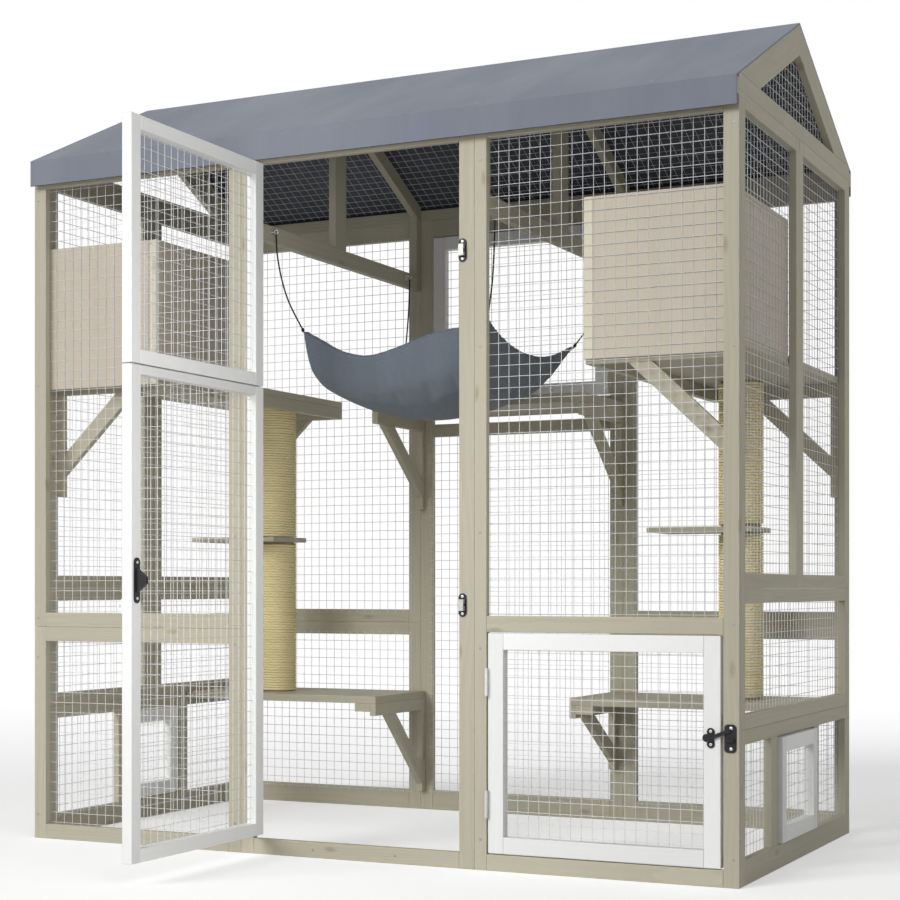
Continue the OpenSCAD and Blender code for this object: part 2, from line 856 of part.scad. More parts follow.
// Main door, upper leaf
module upper_leaf() {
    color(door_color)
        at_leaf(upper_z0)
            leaf_frame(leaf_w, upper_h, leaf_stile_w, leaf_rail_h, leaf_rail_h);
}

module upper_leaf_mesh() {
    color(wire_color)
        at_leaf(upper_z0)
            leaf_mesh(leaf_w, upper_h, leaf_stile_w, leaf_rail_h, leaf_rail_h);
}

module upper_leaf_hinges() {
    color(steel_color)
        at_leaf(upper_z0)
            hinges(upper_h, hinge_inset, true);
}

// Main door, lower leaf
module lower_leaf() {
    color(door_color)
        at_leaf(lower_z0)
            leaf_frame(leaf_w, lower_h, leaf_stile_w, leaf_rail_h, meeting_rail_h);
}

module lower_leaf_mesh() {
    color(wire_color)
        at_leaf(lower_z0)
            leaf_mesh(leaf_w, lower_h, leaf_stile_w, leaf_rail_h, meeting_rail_h);
}

module lower_leaf_hinges() {
    color(steel_color)
        at_leaf(lower_z0)
            hinges(lower_h, hinge_inset, true);
}

// Sliding bolt on a leaf's outer face. The bolt's axis runs along x, bolt_off in front.
bolt_plate_t = 2;
bolt_off = bolt_plate_t + run_gap + bolt_d / 2;
case_wall = 2.5;
rear_guide = 5;
front_guide = 4;
knob_d = 5;
knob_l = 9;
bolt_tip = 0.5;
case_l = rear_guide + front_guide + knob_d + bolt_travel + 2 * run_gap;
bolt_l = case_l + 4;

module bolt_case() {
    half = bolt_d / 2 + run_gap + case_wall;
    ears = 9;
    difference() {
        union() {
            translate([-case_l, -bolt_plate_t, -half - ears])
                cube([case_l, bolt_plate_t, 2 * (half + ears)]);
            block([-case_l, -bolt_off - half, -half], [rear_guide - case_l, 0, half]);
            block([-front_guide, -bolt_off - half, -half], [0, 0, half]);
        }
        translate([-case_l - 1, -bolt_off, 0])
            rotate([0, 90, 0])
                cylinder(d = bolt_d + 2 * run_gap, h = case_l + 2);
    }
}

// The knob stands upright from the bolt, between the two guides
module bolt() {
    translate([-bolt_l - bolt_tip, -bolt_off, 0])
        rotate([0, 90, 0])
            cylinder(d = bolt_d, h = bolt_l);
    translate([rear_guide - case_l + run_gap + knob_d / 2, -bolt_off, 0])
        rotate([90, 0, 0])
            cylinder(d = knob_d, h = knob_l);
}

// Place of a bolt at height z on a leaf whose foot is at z_leaf
module at_bolt(z_leaf, z) {
    at_leaf(z_leaf)
        translate([leaf_w, 0, z - z_leaf])
            children();
}

module upper_bolt_case() {
    color(door_color)
        at_bolt(upper_z0, upper_bolt_z)
            bolt_case();
}

module upper_bolt() {
    color(steel_color)
        at_bolt(upper_z0, upper_bolt_z)
            bolt();
}

module lower_bolt_case() {
    color(door_color)
        at_bolt(lower_z0, lower_bolt_z)
            bolt_case();
}

module lower_bolt() {
    color(steel_color)
        at_bolt(lower_z0, lower_bolt_z)
            bolt();
}

// Keeper on the latch post: a long plate with a staple that the bolt slides into
keeper_w = 20;
keeper_l = 53;
keeper_from_edge = 9.5;
staple_w = 12;
staple_h = 26;

module keeper() {
    r = keeper_w / 2;
    reach = bolt_off + bolt_d / 2 + run_gap + 2;
    difference() {
        union() {
            rotate([90, 0, 0])
                linear_extrude(bolt_plate_t) {
                    square([keeper_w, keeper_l - keeper_w], center = true);
                    for (z = [-1, 1])
                        translate([0, z * (keeper_l / 2 - r)])
                            circle(r);
                }
            translate([-staple_w / 2, -reach, -staple_h / 2])
                cube([staple_w, reach, staple_h]);
        }
        translate([-keeper_w, -bolt_off, 0])
            rotate([0, 90, 0])
                cylinder(d = bolt_d + 2 * run_gap, h = 2 * keeper_w);
    }
}

// Catch on the corner stile: a plate whose lip carries the hatch latch's arm
arm_t = 4;
arm_w = 8;
arm_l = 47;
pivot_x = 21;
latch_plate_t = 2.5;
arm_y = latch_plate_t + run_gap;
lip_t = 3;
lip_in = 4;
catch_w = 26;
catch_h = 60;
catch_from_edge = 3;

module hatch_catch() {
    reach = arm_y + arm_t + run_gap + lip_t;
    low = arm_w / 2 + run_gap;
    corner_r = 8;
    translate([hatch_x1 + catch_from_edge, y0, hatch_latch_z]) {
        rotate([90, 0, 0])
            linear_extrude(latch_plate_t) {
                translate([0, corner_r - catch_h / 2])
                    square([catch_w, catch_h - 2 * corner_r]);
                translate([corner_r, -catch_h / 2])
                    square([catch_w - 2 * corner_r, catch_h]);
                for (u = [corner_r, catch_w - corner_r], z = [-1, 1])
                    translate([u, z * (catch_h / 2 - corner_r)])
                        circle(corner_r);
            }
        block([lip_in, -reach, -low - lip_t], [catch_w - lip_in, -latch_plate_t - seam, -low]);
        block([lip_in, -reach, seam - low], [catch_w - lip_in, -reach + lip_t, 0]);
    }
}

module door_keepers() {
    color(black_color) {
        for (z = [upper_bolt_z, lower_bolt_z])
            translate([door_x1 + keeper_from_edge, y0, z])
                keeper();
        hatch_catch();
    }
}

// Lever on the inner face of the lower leaf
lever_plate_t = 3;
lever_reach = 24;
lever_spindle_d = 8;

module at_lever() {
    at_leaf(lower_z0)
        translate([leaf_w - leaf_stile_w / 2, leaf_t, lever_z - lower_z0])
            children();
}

module latch_lever_plate() {
    color(black_color)
        at_lever()
            rotate([-90, 0, 0]) {
                difference() {
                    linear_extrude(lever_plate_t) {
                        square([20, 77], center = true);
                        for (z = [-1, 1])
                            translate([0, z * 38.5])
                                circle(10);
                    }
                    translate([0, 0, -1])
                        cylinder(d = lever_spindle_d + 2 * run_gap, h = lever_plate_t + 2);
                }
            }
}

// Thumb turn on a spindle, its wedge upright at rest
module latch_lever() {
    out = lever_plate_t + run_gap;
    wedge_w = 9;
    color(black_color)
        at_lever() {
            translate([0, run_gap, 0])
                rotate([-90, 0, 0])
                    cylinder(d = lever_spindle_d, h = out + 2);
            translate([-wedge_w / 2, out, 0])
                rotate([90, 0, 90])
                    linear_extrude(wedge_w)
                        polygon([[0, -26], [0, 26], [lever_reach, 7], [lever_reach, -7]]);
        }
}

// Front hatch
module front_hatch() {
    color(door_color)
        at_hatch()
            leaf_frame(hatch_w, hatch_h, hatch_board_w, hatch_board_w, hatch_board_w);
}

module front_hatch_mesh() {
    color(wire_color)
        at_hatch()
            leaf_mesh(hatch_w, hatch_h, hatch_board_w, hatch_board_w, hatch_board_w);
}

module front_hatch_hinges() {
    color(steel_color)
        at_hatch()
            hinges(hatch_h, hinge_inset, true);
}

module at_hatch_latch() {
    at_hatch()
        translate([hatch_w - pivot_x, 0, hatch_latch_z - hatch_z0 - edge_gap])
            rotate([90, 0, 0])
                children();
}

// Three-lobed plate with the pivot stud
module hatch_latch_plate() {
    lobe = 8.5;
    color(black_color)
        at_hatch_latch() {
            linear_extrude(latch_plate_t) {
                for (p = [[0, 13], [0, -13], [-10, 0]])
                    translate(p)
                        circle(lobe);
                square([14, 26], center = true);
            }
            cylinder(d = 6, h = arm_y + arm_t + 1.6);
        }
}

module hatch_latch_arm() {
    color(black_color)
        at_hatch_latch()
            rotate([0, 0, arm_lift])
                translate([0, 0, arm_y])
                    difference() {
                        linear_extrude(arm_t) {
                            circle(7.5);
                            translate([0, -arm_w / 2])
                                square([arm_l, arm_w]);
                        }
                        translate([0, 0, -1])
                            cylinder(d = 6 + 2 * pin_play, h = arm_t + 2);
                    }
}

// Rear hatch
module rear_hatch() {
    color(door_color)
        at_rear()
            leaf_frame(rear_w, rear_h, hatch_board_w, hatch_board_w, hatch_board_w);
}

module rear_hatch_mesh() {
    color(wire_color)
        at_rear()
            leaf_mesh(rear_w, rear_h, hatch_board_w, hatch_board_w, hatch_board_w);
}

module rear_hatch_hinges() {
    color(steel_color)
        at_rear()
            hinges(rear_h, hinge_inset, true);
}

// Small doors, drawn on the right
module small_door(side) {
    color(door_color)
        at_small(small_leaf_x, side)
            leaf_frame(small_w(side), small_h, small_board_w, small_board_w, small_board_w);
}

module small_door_mesh(side) {
    color(wire_color)
        at_small(small_leaf_x, side)
            leaf_mesh(small_w(side), small_h, small_board_w, small_board_w, small_board_w);
}

module small_door_hinges(side) {
    color(steel_color)
        at_small(xi1, side)
            hinges(small_h, small_hinge_inset, true);
}

module left_small_door() {
    mirror_x()
        small_door(-1);
}

module left_small_door_mesh() {
    mirror_x()
        small_door_mesh(-1);
}

module left_small_door_hinges() {
    mirror_x()
        small_door_hinges(-1);
}

module right_small_door() {
    small_door(1);
}

module right_small_door_mesh() {
    small_door_mesh(1);
}

module right_small_door_hinges() {
    small_door_hinges(1);
}

// Fixed hinge leaves and pins of all the doors. The main door's are drawn shut, as they stay
// on the post while the leaves turn.
module at_shut_leaf(z) {
    translate([door_pin[0] + hinge_gap / 2, y0, z])
        children();
}

module fixed_hinge_leaves() {
    color(steel_color) {
        at_shut_leaf(upper_z0)
            hinges(upper_h, hinge_inset, false);
        at_shut_leaf(lower_z0)
            hinges(lower_h, hinge_inset, false);
        at_hatch()
            hinges(hatch_h, hinge_inset, false);
        at_rear()
            hinges(rear_h, hinge_inset, false);
        for (side = [-1, 1])
            mirror([side < 0 ? 1 : 0, 0, 0])
                at_small(xi1, side)
                    hinges(small_h, small_hinge_inset, false);
    }
}

module hinge_pins() {
    color(steel_color) {
        at_shut_leaf(upper_z0)
            pins(upper_h, hinge_inset);
        at_shut_leaf(lower_z0)
            pins(lower_h, hinge_inset);
        at_hatch()
            pins(hatch_h, hinge_inset);
        at_rear()
            pins(rear_h, hinge_inset);
        for (side = [-1, 1])
            mirror([side < 0 ? 1 : 0, 0, 0])
                at_small(xi1, side)
                    pins(small_h, small_hinge_inset);
    }
}

// Screw heads on the outer faces of the posts and rails
module screw_front(x, z) {
    translate([x, y0, z])
        rotate([90, 0, 0])
            cylinder(d = screw_d, h = screw_h);
}

eave_screw = 35;
screw_lift = 0.02;

module screws() {
    corner_zs = [for (k = [0.036, 0.272, 0.331, 0.68, 0.959]) k * wall_h];
    seam_zs = [for (k = [0.041, 0.296, 0.45, 0.698, 0.947]) k * wall_h];
    side_zs = [for (k = [0.059, 0.178, 0.284, 0.45, 0.74, 0.947]) k * wall_h];
    sill_in = 0.3 * (door_x1 - door_x0);
    roof_in = 0.108 * body_w;
    color(steel_color) {
        for (x = [x0 + 12, x1 - 12], z = corner_zs)
            screw_front(x, z);
        for (z = seam_zs) {
            screw_front(xa - 17, z);
            screw_front(xb + 15, z);
        }
        for (x = [door_x0 + sill_in, door_x1 - sill_in])
            screw_front(x, sill_h / 2);
        for (flip = [0, 1], y = [y0 + frame_t / 2, y1 - frame_t / 2], z = side_zs)
            mirror([flip, 0, 0])
                translate([x1, y, z])
                    rotate([0, 90, 0])
                        cylinder(d = screw_d, h = screw_h);
        for (x = [x0 + roof_in, xa, xb, x1 - roof_in])
            for (back = [0, 1])
                translate([x, back * 2 * yc, 0])
                    mirror([0, back, 0])
                        front_slope()
                            translate([0, roof_run / cos(roof_a) - eave_screw, screw_lift])
                                cylinder(d = screw_d, h = screw_h);
    }
}

// Bracket in its own plane: u runs out from the wall, v up to the board's underside at 0.
// The brace runs from the arm, at u = reach, down to the upright, at v = -low.
module bracket_2d(arm_l, arm_from, upright_h, low, reach) {
    u0 = upright_w + seam;
    v0 = -arm_h - seam;
    a = atan((low + v0) / (reach - u0));
    cut_u = brace_w / sin(a);
    cut_v = brace_w / cos(a);
    if (arm_l > 0)
        translate([arm_from, -arm_h])
            square([arm_l - arm_from, arm_h]);
    translate([0, -upright_h])
        square([upright_w, upright_h - arm_h - seam]);
    polygon([[u0, -low], [u0, -low + cut_v], [reach - cut_u, v0], [reach, v0]]);
}

// Bracket square to a side wall, drawn on the right, from y to y + its thickness
module bracket_xz(y, z, arm_l, upright_h, low, reach) {
    translate([fx, y + bracket_t, z])
        mirror([1, 0, 0])
            rotate([90, 0, 0])
                linear_extrude(bracket_t)
                    bracket_2d(arm_l, 0, upright_h, low, reach);
}

// Bracket square to the back wall, from x to x + its thickness
module bracket_yz(x, y, z, arm_l, upright_h, low, reach) {
    translate([x, y, z])
        mirror([0, 1, 0])
            rotate([90, 0, 90])
                linear_extrude(bracket_t)
                    bracket_2d(arm_l, 0, upright_h, low, reach);
}

// High platform on the right, on two brackets, with a cleat under its free edge
module platform(front_in) {
    reach = platform_w - platform_brace_in;
    board_z = platform_z;
    front = cubby_y0 + front_in;
    color(frame_color) {
        block([platform_x0, cubby_y0, board_z], [fx, fy1, platform_top]);
        for (y = [front, fy1 - bracket_t])
            bracket_xz(y, board_z - seam, platform_w, platform_upright_h, platform_brace_h, reach);
        block([platform_x0, front + bracket_t + seam, board_z - arm_h - seam],
            [platform_x0 + bracket_t, fy1 - bracket_t - seam, board_z - seam]);
    }
}

module left_platform() {
    mirror_x()
        platform(left_bracket_in);
}

module right_platform() {
    platform(0);
}

// Cubby on the right platform: front, both sides and top, open at the back
module cubby() {
    z0 = platform_z - cubby_drop;
    base = platform_top + seam;
    top = cubby_top_z;
    back = fy0 + cubby_d;
    inner_x = platform_x0;
    color(panel_color) {
        block([inner_x + batten_w + seam, fy0, z0], [fx, fy0 + panel_t, top]);
        block([inner_x, fy0 + batten_w + seam, base], [inner_x + panel_t, back, top - panel_t - seam]);
        block([fx - panel_t, cubby_y0, base], [fx, back, top - panel_t - seam]);
        block([inner_x, fy0 + batten_w + seam, top - panel_t], [fx, back, top]);
    }
    color(frame_color)
        difference() {
            block([inner_x, fy0, z0], [inner_x + batten_w, fy0 + batten_w, top]);
            block([inner_x - 1, cubby_y0 - fit_gap, z0 - 1],
                [inner_x + batten_w + 1, fy0 + batten_w + 1, base]);
        }
}

module left_cubby() {
    mirror_x()
        cubby();
}

module right_cubby() {
    cubby();
}

// Middle shelf on the back wall, on two brackets
module middle_shelf() {
    x = mid_shelf_l / 2;
    board_z = mid_shelf_z - mid_shelf_t;
    back = yi1 - seam;
    color(frame_color) {
        block([-x, back - mid_shelf_d, board_z], [x, back, mid_shelf_z]);
        for (bx = [-x, x - bracket_t])
            bracket_yz(bx, back, board_z - seam, mid_shelf_d, mid_upright_h, mid_brace_h,
                mid_shelf_d - mid_brace_in);
    }
}

// Height to the top of the left lower shelf (side -1) and of the right one (side 1)
function shelf_top(side) = low_shelf_z + (side > 0 ? right_shelf_rise : 0);

// Lower shelf on the right: board, end bracket and a block under the front edge
module lower_shelf(length, top, low) {
    xl = fx - length;
    board_z = top - shelf_t;
    front = fy1 - low_shelf_d;
    color(frame_color) {
        block([xl, front, board_z], [fx, fy1, top]);
        bracket_yz(xl, fy1, board_z - seam, low_shelf_d, low + upright_w, low,
            low_shelf_d - low_brace_in);
        block([xl + bracket_t + seam, front, board_z - batten_w - seam],
            [xl + bracket_t + low_block_l, front + upright_w, board_z - seam]);
    }
}

module left_lower_shelf() {
    mirror_x()
        lower_shelf(low_shelf_l, shelf_top(-1), left_brace_h);
}

module right_lower_shelf() {
    lower_shelf(right_shelf_l, shelf_top(1), right_brace_h);
}

// Sisal posts stand on the lower shelves, carry a step board and reach the platforms
// Stretches of the left post (side -1) and of the right post (side 1)
function step_low(side) = step_z + (side > 0 ? right_step_rise : 0);
function stretches(side) =
    [[shelf_top(side), step_low(side)], [step_low(side) + step_t, platform_z]];

module post_cores() {
    color(core_color)
        for (side = [-1, 1], z = stretches(side))
            translate([side * post_cx, post_cy, z[0]])
                cylinder(d = core_d, h = z[1] - z[0]);
}

module step_boards() {
    color(frame_color)
        for (side = [-1, 1])
            translate([side * post_cx - step_shift, post_cy - step_forward, step_low(side)])
                block([-step_l / 2, -step_d / 2, 0], [step_l / 2, step_d / 2, step_t]);
}

// Tube of a given number of sides along a list of points
function unit(v) = v / norm(v);
function tangent(p, i) = unit(p[min(i + 1, len(p) - 1)] - p[max(i - 1, 0)]);
function side_of(t) = unit(cross(t, abs(t[2]) > 0.9 ? [1, 0, 0] : [0, 0, 1]));
function ring(p, i, r, sides) =
    let (t = tangent(p, i), a = side_of(t), b = cross(t, a))
    [for (k = [0:sides - 1]) p[i] + r * (cos(360 * k / sides) * a + sin(360 * k / sides) * b)];

module tube(p, r, sides) {
    n = len(p);
    points = [for (i = [0:n - 1]) each ring(p, i, r, sides)];
    walls = [for (i = [0:n - 2], k = [0:sides - 1])
        let (a = i * sides + k, b = i * sides + (k + 1) % sides)
        each [[a, a + sides, b], [b, a + sides, b + sides]]];
    low = [for (k = [1:sides - 2]) [0, k, k + 1]];
    high = [for (k = [1:sides - 2]) [(n - 1) * sides, (n - 1) * sides + k + 1, (n - 1) * sides + k]];
    polyhedron(points, concat(walls, low, high));
}

// Rope wound up one stretch of a post, with a straight run at each end
function winding(z0, z1) =
    let (
        r = core_d / 2 + fit_gap + rope_d / 2,
        lo = z0 + rope_d, hi = z1 - rope_d,
        rise = (hi - lo) / (rope_turns * rope_ring),
        pts = [for (i = [0:rope_turns * rope_ring])
            [r * cos(360 * i / rope_ring), r * sin(360 * i / rope_ring), lo + i * rise]]
    )
    concat([pts[0] - [0, rope_d, 0]], pts, [pts[len(pts) - 1] + [0, rope_d, 0]]);

module sisal(side) {
    color(sisal_color)
        translate([side * post_cx, post_cy, 0])
            for (z = stretches(side))
                tube(winding(z[0], z[1]), rope_d / 2, 6);
}

module left_post_sisal() {
    sisal(-1);
}

module right_post_sisal() {
    sisal(1);
}

// Least gap between one turn of the rope and the next
function turn_gap(z0, z1) = let (p = winding(z0, z1), n = len(p))
    min([for (i = [1:n - 2], j = [i + rope_ring / 2:n - 2]) norm(p[j] - p[i])]) - rope_d;
echo(least_rope_gap_mm = min([for (side = [-1, 1], z = stretches(side)) turn_gap(z[0], z[1])]));

// Hammock cloth: a square bag with steep front and side walls, lowest towards the front.
// u runs across it and v from front to back, each from -1 to 1.
hammock_steps = 18;
pull_in = 0.035;
wall_share = 0.53;
wall_power = 34;
front_tilt = 0.285;
front_slack = 1.4;

// Places along an edge, closer together at the walls
function spread(k) = sin(180 * k / hammock_steps - 90);

function edge_sag(u, v) = rim_sag * (1 - u * u * v * v)
    * (1 - (v < 0 ? front_slack * u * (1 - u * u) * pow(v, 8) : 0));

function bag_depth(u, v) =
    let (
        wall = (1 - pow(max(abs(u), -v), wall_power)) * (1 - pow(max(v, 0), 3)),
        soft = (1 - u * u) * (1 - v * v)
    )
    bowl_depth * (wall_share * wall + (1 - wall_share) * soft) * (1 - front_tilt * v);

function cloth_middle(u, v) = [
    hammock_hx * u * (1 - pull_in * (1 - v * v)),
    hc + hammock_hy * v * (1 - pull_in * (1 - u * u)),
    hammock_z - edge_sag(u, v) - bag_depth(u, v)];

function cloth_point(u, v, lift) =
    let (
        d = 0.004,
        along_x = cloth_middle(min(u + d, 1), v) - cloth_middle(max(u - d, -1), v),
        along_y = cloth_middle(u, min(v + d, 1)) - cloth_middle(u, max(v - d, -1))
    )
    cloth_middle(u, v) + lift * unit(cross(along_x, along_y));

module hammock() {
    n = hammock_steps;
    m = n + 1;
    side = [for (i = [0:n]) spread(i)];
    top = [for (v = side, u = side) cloth_point(u, v, cloth_t / 2)];
    under = [for (v = side, u = side) cloth_point(u, v, -cloth_t / 2)];
    k = m * m;
    sheets = [for (j = [0:n - 1], i = [0:n - 1])
        let (a = j * m + i, b = a + 1, c = a + m, d = c + 1)
        each [[a, c, b], [b, c, d], [a + k, b + k, c + k], [b + k, d + k, c + k]]];
    edges = [for (i = [0:n - 1])
        let (f = i, g = n * m + i, l = i * m, r = i * m + n)
        each [
            [f, f + 1, f + k], [f + 1, f + 1 + k, f + k],
            [g, g + k, g + 1], [g + 1, g + k, g + 1 + k],
            [l, l + k, l + m], [l + m, l + k, l + m + k],
            [r, r + m, r + k], [r + m, r + m + k, r + k]]];
    color(cloth_color)
        polyhedron(concat(top, under), concat(sheets, edges));
}

// Cords from the hooks to the corners, as points measured from the hook and from the corner
cord_route = [[0, 0, 0], [0.03, 0.04, 0.2], [0.18, 0.2, 0.45], [0.45, 0.48, 0.7], [1, 1, 1]];

function cord_points(from, to) = [for (s = cord_route)
    [for (k = [0:2]) from[k] + (to[k] - from[k]) * s[k]]];

function hook_point(y) = [beam_face - hook_reach, y, hook_z - hook_r - hook_wire / 2 - fit_gap];

// The cord's end face stands just over the cloth's corner
function corner_point(hook, v) =
    let (corner = cloth_middle(1, v))
    corner + unit(hook - corner) * cord_lift;

module hammock_cords() {
    color(black_color)
        for (flip = [0, 1], c = [[y0 + front_hook_y, -1], [y1 - back_hook_y, 1]])
            mirror([flip, 0, 0])
                let (hook = hook_point(c[0]))
                    tube(cord_points(hook, corner_point(hook, c[1])), cord_d / 2, 8);
}

// Eye hook: a flange on the beam, a shank and a ring
module cord_hook() {
    translate([beam_face, 0, hook_z])
        rotate([0, -90, 0]) {
            cylinder(d = 14, h = 1.5);
            cylinder(d = hook_wire, h = hook_reach - hook_r);
        }
    translate([beam_face - hook_reach, 0, hook_z])
        rotate([90, 0, 0])
            rotate_extrude()
                translate([hook_r, 0])
                    circle(d = hook_wire);
}

module cord_hooks() {
    color(steel_color)
        for (flip = [0, 1], y = [y0 + front_hook_y, y1 - back_hook_y])
            mirror([flip, 0, 0])
                translate([0, y, 0])
                    cord_hook();
}

front_left_frames();
door_surround();
front_right_frame();
back_left_frames();
back_middle_frame();
back_right_frames();
left_side_frames();
right_side_frames();
left_gable();
right_gable();
roof_trusses();
roof_beams();
front_roof_sheet();
back_roof_sheet();
ceiling_mesh();
wall_mesh();
upper_leaf();
upper_leaf_mesh();
upper_leaf_hinges();
upper_bolt_case();
upper_bolt();
lower_leaf();
lower_leaf_mesh();
lower_leaf_hinges();
lower_bolt_case();
lower_bolt();
latch_lever_plate();
latch_lever();
front_hatch();
front_hatch_mesh();
front_hatch_hinges();
hatch_latch_plate();
hatch_latch_arm();
rear_hatch();
rear_hatch_mesh();
rear_hatch_hinges();
left_small_door();
left_small_door_mesh();
left_small_door_hinges();
right_small_door();
right_small_door_mesh();
right_small_door_hinges();
fixed_hinge_leaves();
hinge_pins();
door_keepers();
screws();
left_cubby();
right_cubby();
left_platform();
right_platform();
middle_shelf();
left_lower_shelf();
right_lower_shelf();
post_cores();
left_post_sisal();
right_post_sisal();
step_boards();
hammock();
hammock_cords();
cord_hooks();
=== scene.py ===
# Looks of the outdoor cat enclosure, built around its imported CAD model. Metres, +Z up.
import json
import math
import random
import zlib

import bmesh
import bpy
import numpy as np
from mathutils import Matrix, Vector, noise


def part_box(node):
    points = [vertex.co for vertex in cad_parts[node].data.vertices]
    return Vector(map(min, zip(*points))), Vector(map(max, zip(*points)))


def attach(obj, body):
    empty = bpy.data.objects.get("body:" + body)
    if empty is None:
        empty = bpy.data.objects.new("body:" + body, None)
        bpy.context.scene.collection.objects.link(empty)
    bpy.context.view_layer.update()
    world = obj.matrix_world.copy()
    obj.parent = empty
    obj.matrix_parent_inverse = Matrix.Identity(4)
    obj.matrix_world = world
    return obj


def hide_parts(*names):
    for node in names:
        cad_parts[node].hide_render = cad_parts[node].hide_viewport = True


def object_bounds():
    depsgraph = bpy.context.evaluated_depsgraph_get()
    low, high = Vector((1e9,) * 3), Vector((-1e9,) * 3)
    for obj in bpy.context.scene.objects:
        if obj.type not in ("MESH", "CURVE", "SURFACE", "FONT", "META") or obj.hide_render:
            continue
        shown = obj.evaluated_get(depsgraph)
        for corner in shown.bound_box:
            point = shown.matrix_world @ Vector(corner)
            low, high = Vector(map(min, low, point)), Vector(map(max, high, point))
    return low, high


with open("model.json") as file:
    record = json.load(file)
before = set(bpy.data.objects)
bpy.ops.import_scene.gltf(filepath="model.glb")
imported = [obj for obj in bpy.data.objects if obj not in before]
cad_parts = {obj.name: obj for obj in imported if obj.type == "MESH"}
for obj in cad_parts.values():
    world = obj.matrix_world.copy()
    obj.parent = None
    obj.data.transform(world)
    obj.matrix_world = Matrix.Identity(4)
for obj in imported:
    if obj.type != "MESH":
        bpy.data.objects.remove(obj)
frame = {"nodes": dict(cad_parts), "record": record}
cad_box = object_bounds()
BODY = {n: b for b, names in frame["record"]["behaviour"]["bodies"].items() for n in names}
SLOT = {s["node"]: s["material_slot"] for s in frame["record"]["subparts"]}

# Camera, fitted to the photograph
camera_data = bpy.data.cameras.new("camera")
camera_data.sensor_width = 36
camera_data.lens = 73.42
camera_data.shift_y = 0.1527
camera = bpy.data.objects.new("camera", camera_data)
camera.location = (2.0485, -3.767, 0.637)
camera.rotation_euler = (math.radians(90), 0, math.radians(25.6))
bpy.context.collection.objects.link(camera)
bpy.context.scene.camera = camera


# Helpers for shader nodes
def new_material(name):
    mat = bpy.data.materials.new(name)
    mat.use_nodes = True
    tree = mat.node_tree
    return mat, tree, tree.nodes["Principled BSDF"]


def add(tree, kind, inputs=None, **props):
    node = tree.nodes.new(kind)
    for key, value in props.items():
        setattr(node, key, value)
    for key, value in (inputs or {}).items():
        if isinstance(value, bpy.types.NodeSocket):
            tree.links.new(value, node.inputs[key])
        else:
            node.inputs[key].default_value = value
    return node


def attribute(tree, name, output="Vector"):
    return add(tree, "ShaderNodeAttribute", attribute_name=name).outputs[output]


def position(tree):
    return add(tree, "ShaderNodeTexCoord").outputs["Object"]


def stretch(tree, vector, scale):
    return add(tree, "ShaderNodeVectorMath", {0: vector, 1: scale}, operation="MULTIPLY").outputs[0]


def noise_fac(tree, vector, scale, detail=3.0, rough=0.55, distortion=0.0):
    return add(tree, "ShaderNodeTexNoise", {"Vector": vector, "Scale": scale, "Detail": detail,
                                            "Roughness": rough, "Distortion": distortion}).outputs["Fac"]


def math_node(tree, operation, a, b=0.0):
    return add(tree, "ShaderNodeMath", {0: a, 1: b}, operation=operation).outputs[0]


def times(tree, a, b):
    return math_node(tree, "MULTIPLY", a, b)


def plus(tree, a, b):
    return math_node(tree, "ADD", a, b)


def weighted(tree, a, share_a, b, share_b):
    """Sum of two values, each with its share."""
    return plus(tree, times(tree, a, share_a), times(tree, b, share_b))


def remap(tree, value, low, high, out_low=0.0, out_high=1.0):
    return add(tree, "ShaderNodeMapRange", {"Value": value, "From Min": low, "From Max": high,
                                            "To Min": out_low, "To Max": out_high}).outputs["Result"]


def mix_color(tree, factor, a, b, blend="MIX"):
    node = add(tree, "ShaderNodeMix", data_type="RGBA", blend_type=blend)
    for index, value in ((0, factor), (6, a), (7, b)):
        if isinstance(value, bpy.types.NodeSocket):
            tree.links.new(value, node.inputs[index])
        elif index:
            node.inputs[index].default_value = (*value, 1.0)
        else:
            node.inputs[index].default_value = value
    return node.outputs[2]


def bump(tree, bsdf, height, distance):
    node = add(tree, "ShaderNodeBump", {"Height": height, "Strength": 1.0, "Distance": distance})
    tree.links.new(node.outputs[0], bsdf.inputs["Normal"])


def link(tree, output, bsdf, name):
    tree.links.new(output, bsdf.inputs[name])


